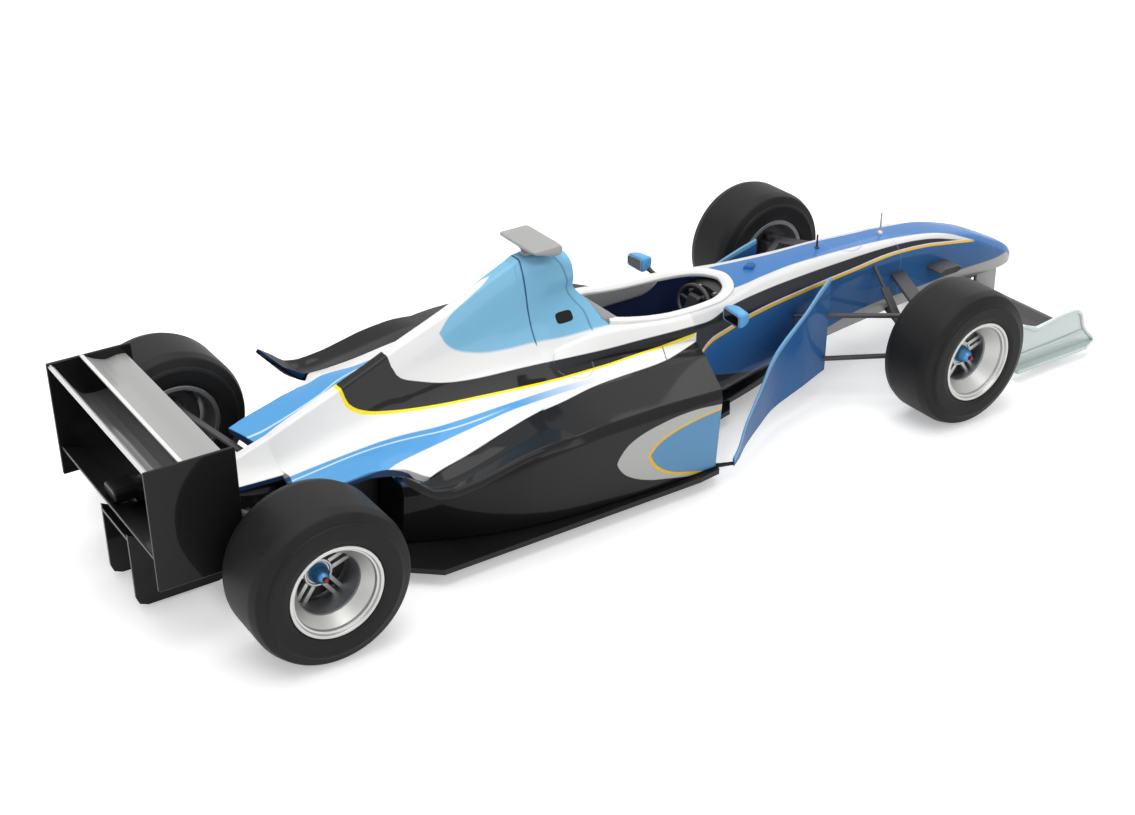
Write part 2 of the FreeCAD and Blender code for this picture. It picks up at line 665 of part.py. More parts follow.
airbox_solid = shell(AIRBOX, 1.2).fuse(shell(COLLAR, 1.0)).cut(shell(INTAKE, 0.8))
keep_shape("airbox", seated(airbox_solid, "cockpit_tub"))
cover_table = [(station, edge + ridge) for (station, edge), ridge in zip(DECK_EDGE, COVER_RIDGE)]
keep_shape("engine_cover", shell(cover_table, 0.8).fuse(shell(COVER_TAIL, 0.8)))
keep_shape("engine", seated(shell(ENGINE, 1.0).cut(screw_holes()), "engine_cover", "floor"))

# ------------------------------------------------------------------ sidepods

POD_NOSE = [
    # station, then x, z: inner low, outer low, outer high, shoulder, crown, inner high
    (71.0, [(SIDE_WALL, floor_high), (EDGE - 1.6, floor_high), (EDGE + 0.6, 24.0),
            (EDGE - 0.4, 26.0), (22.0, 27.0), (SIDE_WALL, 27.6)]),
    (88.0, [(SIDE_WALL, floor_high), (EDGE - 1.2, floor_high), (EDGE + 1.4, 24.6),
            (EDGE + 0.2, 26.6), (22.0, 27.5), (SIDE_WALL, 29.6)]),
    (COVER_FRONT, [(SIDE_WALL, floor_high), (EDGE - 1.8, floor_high), (EDGE + 1.6, 24.9),
                   (EDGE + 0.4, 26.9), (22.5, 27.5), (SIDE_WALL, 29.8)]),
]
POD_FLANK = [
    # behind the cover's front joint: x of the inner wall, then x, z: outer low, outer high, shoulder
    (SIDE_WALL, [(EDGE - 1.8, floor_high), (EDGE + 1.6, 24.9), (EDGE + 0.4, 26.9)]),
    (SIDE_WALL, [(EDGE - 3.0, floor_high), (EDGE + 1.2, 24.4), (EDGE, 26.2)]),
    (SIDE_WALL, [(EDGE - 7.4, floor_high), (EDGE + 1.2, 22.0), (EDGE - 0.2, 24.0)]),
    (SIDE_WALL - 2.0, [(EDGE - 13.0, floor_high), (EDGE + 0.6, 19.6), (EDGE - 0.6, 20.9)]),
]
DUCT = [
    # station, then x, z: inner low, outer low, outer high, inner high
    (60.0, [(SIDE_WALL + 1.6, 7.6), (EDGE - 3.0, 7.6), (EDGE - 3.0, 22.4), (SIDE_WALL + 1.6, 24.4)]),
    (96.0, [(SIDE_WALL + 3.1, 9.1), (EDGE - 4.5, 9.1), (EDGE - 4.5, 20.9), (SIDE_WALL + 3.1, 22.9)]),
]
POD_TRIM = [(-SIDE_WALL + 1.0, 60.0), (-SIDE_WALL + 1.0, 62.0), (-EDGE - 4.0, 73.0), (-EDGE - 4.0, 60.0)]


def pod_loft(table, radii):
    """Loft through the right-hand rings of a sidepod table."""
    rings = [rounded_wire([(-x, z) for x, z in half], radii, station) for station, half in table]
    return Part.makeLoft(rings, True, True)


def pod_tail_table():
    """Rings of the sidepod beside the engine cover, a panel gap away from it."""
    gap = size("panel_gap")
    table = []
    for (inner_x, flank), (station, (underside, edge)) in zip(POD_FLANK, DECK_EDGE):
        seat_z = underside[1] - gap
        joint = [(edge[0] + gap, edge[1]), (underside[0] + gap, seat_z), (inner_x, seat_z)]
        table.append((station, [(inner_x, floor_high)] + flank + joint))
    return table


def sidepod_shape():
    """Right-hand sidepod: lofted body with a radiator duct open at the front."""
    nose_part = pod_loft(POD_NOSE, [0.3, 1.0, 0.8, 0.8, 3.0, 0.3])
    tail_part = pod_loft(pod_tail_table(), [0.3, 1.0, 0.8, 0.8, 0.3, 0.3, 0.3])
    trim = prism_z(POD_TRIM, 0.0, COCKPIT_TOP)
    return nose_part.fuse(tail_part).cut(pod_loft(DUCT, [1.5] * 4)).cut(trim)


pod_right = sidepod_shape()
keep_shape("sidepod_right", pod_right)
keep_shape("sidepod_left", mirror(pod_right))

FLIP_UP = [
    # station, z: top edge to the tip, then back along the underside
    (137.0, 23.6), (144.0, 21.8), (149.0, 24.4), (152.0, 29.7),
    (152.6, 29.1), (149.8, 23.2), (144.8, 19.6), (137.0, 21.0),
]
flip_right = seated(prism_x(FLIP_UP, -EDGE + 0.4, -EDGE + 7.0), "engine_cover", "sidepod_right")
keep_shape("flip_up_right", flip_right)
keep_shape("flip_up_left", mirror(flip_right))

# ---------------------------------------------------------------- bargeboard

BARGEBOARD_PLAN = [
    (-14.6, 20.4), (-17.4, 28.0), (-21.0, 43.0), (-25.0, 50.0), (-30.0, 57.6), (-EDGE + 0.4, 65.6),
]
BARGEBOARD_SIDE = [
    # station, z: front edge, top edge to the rear, then back along the underside
    (20.2, 7.4), (20.2, 33.0), (30.0, 27.6), (42.0, 20.4), (50.0, 14.4), (58.0, 9.6), (63.0, 6.8),
    (66.0, 6.4), (66.0, 4.2), (57.0, 4.2), (44.0, 5.4), (30.0, 6.8),
]


def bargeboard_shape():
    """Right-hand bargeboard: a curved vertical vane trimmed to its side outline."""
    inner = [(x + size("bargeboard_thickness"), station) for x, station in BARGEBOARD_PLAN]
    plan = BARGEBOARD_PLAN + list(reversed(inner))
    vane = prism_z(plan, floor_low, COCKPIT_TOP).common(prism_x(BARGEBOARD_SIDE, -EDGE - 2.0, -12.0))
    stay = slab((-EDGE + 0.6, 64.4, floor_high + 0.1), (-EDGE + 1.8, 72.0, floor_high + 1.3))
    return vane.fuse(stay)


board_right = seated(bargeboard_shape(), "sidepod_right", "floor")

# ---------------------------------------------------------- front suspension


def wishbone(height, pickups, axle):
    """Right-hand wishbone with its eye; pickups are x, station, z and chord of each arm's inner end."""
    pin = Vector(wheel_inside(axle), FRONT_AXLE if axle == "front" else REAR_AXLE, height)
    fork = pin + Vector(size("neck_length"), 0, 0)
    half_eye = Vector(0, 0, size("eye_height") / 2)
    half_neck = Vector(0, size("neck_width") / 2, 0)
    eye = Part.makeCylinder(size("eye_radius"), size("eye_height"), pin - half_eye)
    neck = Part.makeBox(
        size("neck_length"), size("neck_width"), size("eye_height"), pin - half_neck - half_eye)
    arms = []
    for x, station, z, chord in pickups:
        inner = Vector(x, place(station), z)
        outward = (fork - inner).normalize()
        arms.append(blade(inner, fork + outward * size("arm_lap"), chord, size("arm_thickness")))
    shape = eye.multiFuse([neck] + arms)
    if axle == "front":
        bore = size("kingpin_radius") + size("kingpin_clearance")
        shape = shape.cut(Part.makeCylinder(bore, size("eye_height"), pin - half_eye))
    return shape


eye_lift = size("block_height") / 2 + size("eye_gap") + size("eye_height") / 2
UPPER = size("tyre_radius") + eye_lift
LOWER = size("tyre_radius") - eye_lift
ARM_CHORD = size("arm_chord")
WIDE_CHORD = 4.4
PUSHROD_TOP = (-8.6, 0.0, 29.0)
PUSHROD_FAIRING = (-13.6, 0.6, 24.7)
PUSHROD_FOOT = (-27.6, 2.4, LOWER + 0.6)


def front_suspension():
    """Right-hand wishbones and pushrod."""
    upper = wishbone(UPPER, [(-8.0, -9.0, 24.6, WIDE_CHORD), (-9.6, 28.6, 22.8, ARM_CHORD)], "front")
    lower = wishbone(LOWER, [(-5.6, -9.0, 13.4, ARM_CHORD), (-10.4, 28.6, 10.6, ARM_CHORD)], "front")
    route = (PUSHROD_TOP, PUSHROD_FAIRING, PUSHROD_FOOT)
    top, fairing, foot = [Vector(x, place(station), z) for x, station, z in route]
    pushrod = rod(top, fairing, 0.45).fuse(blade(fairing, foot, 2.4, 1.0))
    return upper.multiFuse([lower, pushrod])


front_right = seated(front_suspension(), "cockpit_tub", "nose_cone")
keep_shape("front_suspension_right", front_right)
keep_shape("front_suspension_left", mirror(front_right))
board_right = seated(board_right, "front_suspension_right")
keep_shape("bargeboard_right", board_right)
keep_shape("bargeboard_left", mirror(board_right))

# ----------------------------------------------------------------- rear wing


def wing_blade(label, axle, level, corners, half_span):
    """Wing element between the endplates; corners are distances behind the axle and above the level."""
    body = doc.addObject("PartDesign::Body", label)
    sketch = new_sketch(body, "YZ_Plane", label + "_section")
    outline(sketch, [(f"{axle} + {behind}", f"{level} + {above}") for behind, above in corners])
    pad = body.newObject("PartDesign::Pad", label + "_span")
    pad.Profile = sketch
    pad.Midplane = True
    pad.Length = 2 * float(sheet.evalExpression(half_span))
    pad.setExpression("Length", f"2 * ({named(half_span)})")
    sketch.Visibility = False
    return keep(label, body)


AXLE_Y = "front_axle_place + wheelbase"
WING_SPAN = f"({TYRE_INSIDE} - wing_tyre_gap)"
INNER_SPAN = f"{WING_SPAN} - wing_endplate_thickness"
wing_blade("rear_wing_mainplane", AXLE_Y, "wing_endplate_top", [
    (10.5, -1.6), (13.0, -2.0), (15.6, -2.5), (18.2, -1.4), (20.4, -0.1),
    (20.9, -0.1), (18.6, -2.1), (16.2, -3.3), (13.0, -2.9), (11.0, -2.5),
], INNER_SPAN)
wing_blade("rear_wing_flap", AXLE_Y, "wing_endplate_top", [
    (12.1, -8.1), (16.5, -9.2), (19.0, -9.3), (21.5, -9.0), (22.8, -7.3), (24.9, -4.3), (27.4, -0.6),
    (27.9, -0.9), (25.7, -4.7), (23.5, -7.9), (22.0, -9.8), (19.0, -10.2), (16.5, -10.1), (12.6, -9.1),
], INNER_SPAN)
wing_blade("rear_lower_wing", AXLE_Y, "wing_endplate_bottom", [
    (14.6, 3.1), (17.0, 2.2), (22.0, 3.1), (27.7, 6.3), (27.7, 7.1), (22.0, 4.5), (17.2, 3.6),
], INNER_SPAN)


def rear_endplate(label, side):
    """Rear wing endplate: a plate with rounded corners."""
    body = doc.addObject("PartDesign::Body", label)
    sketch = new_sketch(body, "YZ_Plane", label + "_outline")
    outline(sketch, [
        (f"{AXLE_Y} + wing_front", "wing_endplate_bottom"),
        (f"{AXLE_Y} + wing_rear", "wing_endplate_bottom"),
        (f"{AXLE_Y} + wing_rear", "wing_endplate_top"),
        (f"{AXLE_Y} + wing_front", "wing_endplate_top"),
    ])
    pad = body.newObject("PartDesign::Pad", label + "_plate")
    pad.Profile = sketch
    pad.Length = size("wing_endplate_thickness")
    pad.setExpression("Length", "Sizes.wing_endplate_thickness")
    sketch.Visibility = False
    doc.recompute()
    corners = [
        f"Edge{index}" for index, edge in enumerate(pad.Shape.Edges, start=1)
        if abs(edge.Length - size("wing_endplate_thickness")) < 1e-6
    ]
    fillet = body.newObject("PartDesign::Fillet", label + "_corners")
    fillet.Base = (pad, corners)
    fillet.Radius = size("wing_corner_radius")
    fillet.setExpression("Radius", "Sizes.wing_corner_radius")
    edge_of_span = named(INNER_SPAN) if side == LEFT else f"-{named(WING_SPAN)}"
    body.setExpression("Placement.Base.x", edge_of_span)
    return keep(label, body)


for side_label, side_sign in SIDES:
    rear_endplate(f"rear_wing_endplate_{side_label}", side_sign)
doc.recompute()

# ----------------------------------------------------------- rear of the car

GEARBOX = [
    # station, half section
    (160.0, [(4.0, floor_high), (6.4, 8.0), (6.4, 15.0), (4.0, 17.6)]),
    (176.0, [(3.6, 9.6), (5.6, 11.2), (5.4, 18.0), (3.4, 20.4)]),
    (186.0, [(2.8, 13.6), (4.2, 15.0), (4.2, 21.6), (2.6, 23.6)]),
    (190.0, [(2.6, 19.6), (3.4, 20.4), (3.4, 23.6), (2.2, 25.2)]),
    (196.0, [(2.4, 21.8), (3.0, 22.6), (3.0, 24.8), (2.0, 26.0)]),
]
RAIN_LIGHT = [
    (196.0, [(2.0, 23.3), (3.0, 24.0), (3.0, 25.6), (2.0, 26.3)]),
    (201.2, [(2.0, 23.3), (3.0, 24.0), (3.0, 25.6), (2.0, 26.3)]),
]
keep_shape("gearbox", seated(shell(GEARBOX, 0.8), "engine_cover", "engine", "floor", "rear_lower_wing"))
keep_shape("rain_light", shell(RAIN_LIGHT, 0.8))


def rear_suspension():
    """Right-hand rear wishbones and drive shaft, seated on the fixed upright."""
    upper = wishbone(UPPER, [(-4.0, 164.0, 15.6, ARM_CHORD), (-3.6, 180.0, 16.2, ARM_CHORD)], "rear")
    lower = wishbone(LOWER, [(-4.0, 162.0, 9.0, ARM_CHORD), (-4.2, 178.0, 12.4, ARM_CHORD)], "rear")
    post_x = wheel_inside("rear")
    post = rod(Vector(post_x, REAR_AXLE, LOWER), Vector(post_x, REAR_AXLE, UPPER), 1.0)
    shaft = rod(Vector(-3.0, REAR_AXLE, 13.6), Vector(post_x, REAR_AXLE, size("tyre_radius")), 0.9)
    return upper.multiFuse([lower, post, shaft])


rear_right = seated(rear_suspension(), "rear_upright_right", "gearbox", "engine_cover", "diffuser", "floor")
keep_shape("rear_suspension_right", rear_right)
keep_shape("rear_suspension_left", mirror(rear_right))

# ---------------------------------------------------------------- front wing

FRONT_SPAN = "front_wing_half_span - front_wing_endplate_thickness"
wing_blade("front_wing_mainplane", "front_axle_place", "front_wing_height", [
    (-51.4, 1.2), (-49.0, 0.2), (-44.0, 0.0), (-40.5, 0.8), (-44.5, 1.2), (-49.0, 1.8),
], FRONT_SPAN)
wing_blade("front_wing_flap", "front_axle_place", "front_wing_height", [
    (-41.4, 1.8), (-39.8, 1.2), (-34.5, 3.2), (-31.0, 6.0), (-31.6, 6.2), (-35.8, 4.0),
], FRONT_SPAN)

foot_low = size("front_foot_height")
FRONT_ENDPLATE = [
    # station, z: front edge, top edge to the rear, then the bottom
    (-57.0, foot_low + 0.4), (-56.6, 4.2), (-52.0, 9.0), (-50.6, 12.6), (-48.0, 14.3), (-45.6, 14.3),
    (-34.0, 12.9), (-27.0, 15.2), (-25.6, 14.6), (-25.6, foot_low + 0.4),
]


def front_endplate():
    """Right-hand front wing endplate with its foot plate."""
    plate_x = size("front_wing_half_span")
    foot_x = size("front_foot_half_span")
    inner_x = plate_x - size("front_wing_endplate_thickness")
    plate = prism_x(FRONT_ENDPLATE, -plate_x, -inner_x)
    quarter = plate_x + (foot_x - plate_x) / 4
    plan = [(-inner_x, -57.4), (-quarter, -57.0), (-foot_x, -52.0), (-foot_x, -26.0), (-inner_x, -26.0)]
    foot = prism_z(plan, foot_low, foot_low + size("front_foot_thickness"))
    return plate.fuse(foot).removeSplitter()


endplate_right = front_endplate()
keep_shape("front_wing_endplate_right", endplate_right)
keep_shape("front_wing_endplate_left", mirror(endplate_right))

PYLON_PLACE = 4.4
PYLON_THICKNESS = 1.2
pylon_low = size("front_wing_height") + 0.6
PYLON = [(-51.0, pylon_low + 0.4), (-43.0, pylon_low), (-42.6, 17.0), (-50.6, 17.0)]
pylons = [
    prism_x(PYLON, x - PYLON_THICKNESS / 2, x + PYLON_THICKNESS / 2) for x in (-PYLON_PLACE, PYLON_PLACE)
]
keep_shape("front_wing_pylons", seated(Part.makeCompound(pylons), "nose_cone", "front_wing_mainplane"))

# ------------------------------------------------------------ small fittings

POD_ROOT, POD_TIP = 6.4, 13.2
pod_line = [Vector(-x, place(-23.8), 23.3) for x in (POD_ROOT, POD_TIP)]
camera_pod = blade(pod_line[0], pod_line[1], 9.2, 2.0)
pods = Part.makeCompound([camera_pod, mirror(camera_pod)])
keep_shape("nose_camera_pods", seated(pods, "nose_cone"))

CAMERA_LOW, CAMERA_HIGH = 54.0, 57.0
CAMERA_STALK = [(95.4, 52.0), (COVER_FRONT - 0.8, 52.0), (COVER_FRONT - 0.8, CAMERA_LOW), (95.4, CAMERA_LOW)]
camera = slab((-7.4, 94.4, CAMERA_LOW), (7.4, 103.0, CAMERA_HIGH)).fuse(prism_x(CAMERA_STALK, -1.2, 1.2))
keep_shape("roof_camera", seated(camera, "airbox"))


def mirror_shape():
    """Right-hand mirror on its stalk."""
    housing = slab((-22.6, 51.4, 31.4), (-16.2, 55.4, 35.2))
    stalk = rod(Vector(2.6 - SIDE_WALL, place(52.6), 31.0), Vector(-17.4, place(53.2), 32.2), 0.7)
    return housing.fuse(stalk)


mirror_right = seated(mirror_shape(), "cockpit_tub")
keep_shape("mirror_right", mirror_right)
keep_shape("mirror_left", mirror(mirror_right))

SEAT = [
    # station, half section: cushion, then backrest
    (60.0, [(6.0, COCKPIT_FLOOR), (8.0, 10.0), (8.0, 13.0), (6.0, 14.0)]),
    (76.0, [(6.0, COCKPIT_FLOOR), (8.6, 10.0), (8.6, 16.0), (6.0, 18.0)]),
    (80.0, [(6.0, COCKPIT_FLOOR), (8.4, 10.0), (8.2, 26.0), (6.0, 28.0)]),
]
keep_shape("seat", seated(shell(SEAT, 0.8), "cockpit_tub"))

PAD_LOW, PAD_HIGH, PAD_INNER, PAD_OUTER = 28.8, 33.4, 8.4, 11.4
headrest = slab((-PAD_OUTER, 78.4, PAD_LOW), (PAD_OUTER, 82.0, PAD_HIGH))
for x_from, x_to in ((-PAD_OUTER, -PAD_INNER), (PAD_INNER, PAD_OUTER)):
    headrest = headrest.fuse(slab((x_from, 57.0, PAD_LOW), (x_to, 82.0, PAD_HIGH)))
keep_shape("headrest", largest(seated(headrest, "cockpit_tub", "seat", "airbox")))

COLUMN_Z = 27.4
wheel_plate = slab((-5.4, 52.0, 24.4), (5.4, 53.4, 30.6))
column = rod(Vector(0, place(44.0), COLUMN_Z), Vector(0, place(52.4), COLUMN_Z), 0.9)
keep_shape("steering_wheel", seated(wheel_plate.fuse(column), "cockpit_tub"))

pitot = rod(Vector(0, place(NOSE_JOINT), 31.4), Vector(0, place(NOSE_JOINT), 38.4), 0.35)
keep_shape("nose_probe", seated(pitot, "nose_cone", "cockpit_tub"))
aerial = rod(Vector(0, place(12.3), 32.8), Vector(0, place(12.3), 37.4), 0.3)
keep_shape("tub_aerial", seated(aerial, "cockpit_tub"))

# --------------------------------------------------------- check and export

doc.recompute()
for thing in doc.Objects:
    if "Invalid" in thing.State or "Error" in thing.State:
        raise RuntimeError(f"{thing.Label} failed: {thing.State}")
for label, thing in parts.items():
    if thing.Shape.isNull() or not thing.Shape.isValid() or not thing.Shape.Solids:
        raise RuntimeError(f"{label} has no valid solid")

os.makedirs("parts", exist_ok=True)
for label, thing in parts.items():
    thing.Shape.exportStep(f"parts/{label}.step")
    print(label, len(thing.Shape.Solids), round(thing.Shape.Volume, 2))
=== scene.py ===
# An open-wheel racing car as a 1:18 display model: the finish of every piece,
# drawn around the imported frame. Lengths in the tables are millimetres; x runs
# outwards from the centre plane, "station" backwards from the front axle.
import math

import bmesh
import bpy
import numpy as np
from mathutils import Matrix, Vector


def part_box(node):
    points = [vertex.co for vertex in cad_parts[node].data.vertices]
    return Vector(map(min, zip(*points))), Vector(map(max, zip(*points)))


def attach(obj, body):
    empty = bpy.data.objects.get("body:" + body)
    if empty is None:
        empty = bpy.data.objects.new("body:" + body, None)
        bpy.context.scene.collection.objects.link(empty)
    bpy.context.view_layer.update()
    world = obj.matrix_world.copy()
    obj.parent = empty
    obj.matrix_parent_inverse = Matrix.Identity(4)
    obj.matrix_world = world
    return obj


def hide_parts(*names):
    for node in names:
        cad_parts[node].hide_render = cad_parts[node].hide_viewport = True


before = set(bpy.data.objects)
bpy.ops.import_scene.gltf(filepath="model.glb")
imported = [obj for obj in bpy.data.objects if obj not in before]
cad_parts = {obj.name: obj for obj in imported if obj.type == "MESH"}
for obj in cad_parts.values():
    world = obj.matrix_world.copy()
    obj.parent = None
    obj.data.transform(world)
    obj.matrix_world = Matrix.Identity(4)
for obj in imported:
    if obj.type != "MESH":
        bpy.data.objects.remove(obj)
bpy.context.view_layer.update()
MM = 0.001

# ------------------------------------------------------------- studio and view
# The model stands on a seamless pale sweep, under wide soft lamps. The sweep
# and the air around it show as plain white, and keep the model's own shadow.


class Wire:
    """A socket of a material, so that shader maths reads as arithmetic."""

    def __init__(self, finish, socket):
        self.finish, self.socket = finish, socket

    def maths(self, operation, *others):
        return self.finish.node("ShaderNodeMath", {"operation": operation}, self, *others)

    def __add__(self, other):
        return self.maths("ADD", other)

    def __sub__(self, other):
        return self.maths("SUBTRACT", other)

    def __rsub__(self, other):
        return self.finish.node("ShaderNodeMath", {"operation": "SUBTRACT"}, other, self)

    def __mul__(self, other):
        return self.maths("MULTIPLY", other)

    def __truediv__(self, other):
        return self.maths("DIVIDE", other)

    __radd__ = __add__
    __rmul__ = __mul__

    def size(self):
        """The value without its sign."""
        return self.maths("ABSOLUTE")

    def within(self):
        """The value held between 0 and 1."""
        return self.maths("MAXIMUM", 0.0).maths("MINIMUM", 1.0)

    def over(self, level, blur=0.06):
        """1 where the value is over the level, with an edge of the given blur."""
        return ((self - level) / blur + 0.5).within()

    def under(self, level, blur=0.06):
        """1 where the value is under the level."""
        return 1 - self.over(level, blur)


class Finish:
    """A material built around one Principled shader; node() makes all its other nodes."""

    def __init__(self, name, **sockets):
        self.material = bpy.data.materials.new(name)
        self.material.use_nodes = True
        self.tree = self.material.node_tree
        self.shader = self.tree.nodes["Principled BSDF"]
        for socket_name, value in sockets.items():
            self.feed(socket_name.replace("_", " "), value)

    def feed(self, socket_name, value):
        socket = self.shader.inputs[socket_name]
        if isinstance(value, Wire):
            self.tree.links.new(value.socket, socket)
        else:
            socket.default_value = (*value, 1.0) if isinstance(value, tuple) else value

    def node(self, kind, settings, *inputs, out=0):
        made = self.tree.nodes.new(kind)
        for key, value in settings.items():
            if key == "stops":
                bend(made.mapping.curves[0], value)
                made.mapping.update()
            else:
                setattr(made, key, value)
        for socket, value in zip(made.inputs, inputs):
            if isinstance(value, Wire):
                self.tree.links.new(value.socket, socket)
            elif value is not None:
                socket.default_value = (*value, 1.0) if isinstance(value, tuple) and len(value) == 3 \
                    and socket.type == "RGBA" else value
        return Wire(self, made.outputs[out])

    def mix(self, share, below, above):
        """Colour below, covered by colour above where the share is 1."""
        return self.node("ShaderNodeMix", {"data_type": "RGBA"}, share, None, None, None, None, None,
                         below, above, out=2)

    def spot(self):
        """Object coordinates."""
        return self.node("ShaderNodeTexCoord", {}, out=3)

    def noise(self, scale, detail=2.0):
        """Noise from 0 to 1, with features about 1/scale metres wide."""
        return self.node("ShaderNodeTexNoise", {}, self.spot(), None, scale, detail)

    def clouded(self, dark, light, scale, detail, roughness, spread):
        """Cloud the base colour between two shades, and the roughness with it."""
        cloud = self.noise(scale, detail)
        self.feed("Base Color", self.mix(cloud, dark, light))
        self.feed("Roughness", cloud * spread + roughness)
        return cloud

    def relief(self, height, strength, distance):
        """Normal of a surface that is raised where the height is."""
        made = self.tree.nodes.new("ShaderNodeBump")
        made.inputs["Strength"].default_value = strength
        made.inputs["Distance"].default_value = distance
        self.tree.links.new(height.socket, made.inputs["Height"])
        return Wire(self, made.outputs["Normal"])


def bend(curve, stops):
    """Give a float curve its stops, (input, output) pairs from 0 to 1."""
    for index, (at, value) in enumerate(stops):
        if index < 2:
            curve.points[index].location = (at, value)
        else:
            curve.points.new(at, value)
    for stop in curve.points:
        stop.handle_type = "AUTO_CLAMPED"


def studio_floor():
    """White matt sweep that shows white, except in the model's shadow."""
    half = 3.0
    corners = [(-half, -half, 0), (half, -half, 0), (half, half, 0), (-half, half, 0)]
    mesh = bpy.data.meshes.new("studio_floor")
    mesh.from_pydata(corners, [], [(0, 1, 2, 3)])
    sweep = bpy.data.objects.new("studio_floor", mesh)
    bpy.context.scene.collection.objects.link(sweep)
    paper = Finish("studio_paper", Base_Color=(0.86, 0.86, 0.86), Roughness=0.9, Specular_IOR_Level=0.0)
    rays = paper.tree.nodes.new("ShaderNodeLightPath").outputs
    glow = paper.tree.nodes.new("ShaderNodeEmission")
    glow_level = 0.36
    seen = Wire(paper, rays["Is Camera Ray"]).maths("MAXIMUM", Wire(paper, rays["Is Glossy Ray"]))
    paper.tree.links.new((seen * glow_level).socket, glow.inputs["Strength"])
    both = paper.tree.nodes.new("ShaderNodeAddShader")
    paper.tree.links.new(paper.shader.outputs[0], both.inputs[0])
    paper.tree.links.new(glow.outputs[0], both.inputs[1])
    paper.tree.links.new(both.outputs[0], paper.tree.nodes["Material Output"].inputs["Surface"])
    mesh.materials.append(paper.material)


def studio_air():
    """White where it is seen, mirrored or seen through, plain soft light elsewhere."""
    world = bpy.data.worlds.new("studio_air")
    bpy.context.scene.world = world
    world.use_nodes = True
    tree = world.node_tree
    light = tree.nodes["Background"]
    white = tree.nodes.new("ShaderNodeBackground")
    for shade, strength in ((light, 0.50), (white, 1.0)):
        shade.inputs["Color"].default_value = (1.0, 1.0, 1.0, 1.0)
        shade.inputs["Strength"].default_value = strength
    rays = tree.nodes.new("ShaderNodeLightPath")
    choose = tree.nodes.new("ShaderNodeMixShader")
    seen = rays.outputs["Is Camera Ray"]
    for kind in ("Is Glossy Ray", "Is Transmission Ray"):
        either = tree.nodes.new("ShaderNodeMath")
        either.operation = "MAXIMUM"
        tree.links.new(seen, either.inputs[0])
        tree.links.new(rays.outputs[kind], either.inputs[1])
        seen = either.outputs[0]
    tree.links.new(seen, choose.inputs["Fac"])
    tree.links.new(light.outputs[0], choose.inputs[1])
    tree.links.new(white.outputs[0], choose.inputs[2])
    tree.links.new(choose.outputs[0], tree.nodes["World Output"].inputs["Surface"])


def lamp(name, place, aim, size, power):
    """Soft rectangular lamp, its place and aim in metres."""
    light = bpy.data.lights.new(name, "AREA")
    light.shape = "RECTANGLE"
    light.size, light.size_y = size
    light.energy = power
    holder = bpy.data.objects.new(name, light)
    holder.location = place
    holder.rotation_euler = (Vector(aim) - Vector(place)).to_track_quat("-Z", "Y").to_euler()
    bpy.context.scene.collection.objects.link(holder)


def camera():
    """From the right and behind, above the rear wheel, looking down along the car."""
    lens = bpy.data.cameras.new("camera")
    lens.lens = 54.39
    lens.sensor_width = 36.0
    lens.clip_start = 0.01
    holder = bpy.data.objects.new("camera", lens)
    holder.location = (-0.3003, 0.2178, 0.2072)
    holder.rotation_euler = Vector((0.7300, -0.4885, -0.4781)).to_track_quat("-Z", "Y").to_euler()
    bpy.context.scene.collection.objects.link(holder)
    bpy.context.scene.camera = holder


bpy.context.scene.view_settings.view_transform = "Standard"
studio_floor()
studio_air()
lamp("overhead_lamp", (0.05, 0.10, 0.75), (0.0, 0.0, 0.0), (0.9, 0.7), 4.8)
lamp("front_lamp", (0.35, -0.75, 0.55), (0.0, 0.0, 0.02), (0.5, 0.5), 1.2)
lamp("side_lamp", (-0.75, -0.10, 0.50), (0.0, 0.0, 0.02), (0.4, 0.5), 1.4)
camera()

# ----------------------------------------------------------------------- tyres
# Slick racing tyres of satin black rubber, moulded in one piece: flat tread,
# round shoulders, and a moulding rib round each sidewall where it meets the tread.


def measure(node, axis):
    """Length of a node's box along an axis, and its middle, in millimetres."""
    low, high = (getattr(corner, axis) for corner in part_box(node))
    return (high - low) / MM, (low + high) / 2 / MM


def rim_face(end):
    """Distance of a rim's outer face from the centre plane, in millimetres."""
    return max(abs(corner.x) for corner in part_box(f"{end}_rim_right")) / MM


FRONT_AXLE = measure("front_rim_right", "y")[1]
WHEEL_HEIGHT = measure("front_rim_right", "z")[1]
REAR_STATION = measure("rear_rim_right", "y")[1] - FRONT_AXLE
SIDES = (("right", -1), ("left", 1))
WHEELS = [
    # end and side of the car, sign of that side, station of the axle
    (end, side, sign, station)
    for end, station in (("front", 0.0), ("rear", REAR_STATION)) for side, sign in SIDES
]


def shell(name, points, faces, finishes, kinds=None, weld=1e-6, sliver=1e-7):
    """Loose object from points in millimetres, its faces turned outwards; kinds are material numbers."""
    mesh = bpy.data.meshes.new(name)
    mesh.from_pydata([tuple(c * MM for c in p) for p in points], [], faces)
    for finish in finishes:
        mesh.materials.append(finish.material)
    if kinds is not None:
        mesh.polygons.foreach_set("material_index", kinds)
    shape = bmesh.new()
    shape.from_mesh(mesh)
    if weld:
        bmesh.ops.remove_doubles(shape, verts=shape.verts, dist=weld)
        bmesh.ops.dissolve_degenerate(shape, dist=sliver, edges=shape.edges)
    bmesh.ops.recalc_face_normals(shape, faces=shape.faces)
    shape.to_mesh(mesh)
    shape.free()
    made = bpy.data.objects.new(name, mesh)
    bpy.context.scene.collection.objects.link(made)
    return made


def piece(name, points, faces, finishes, body, replaced=(), kinds=None, sharp=40.0):
    """Object from points in millimetres, ready to ride on its body."""
    return settle(shell(name, points, faces, finishes, kinds), body, replaced, sharp)


def settle(made, body, replaced=(), sharp=40.0):
    """Smooth a piece's mesh and tell the frame about it."""
    made.data.shade_smooth()
    made.data.set_sharp_from_angle(angle=math.radians(sharp))
    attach(made, body)
    if replaced:
        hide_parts(*replaced)
    return made


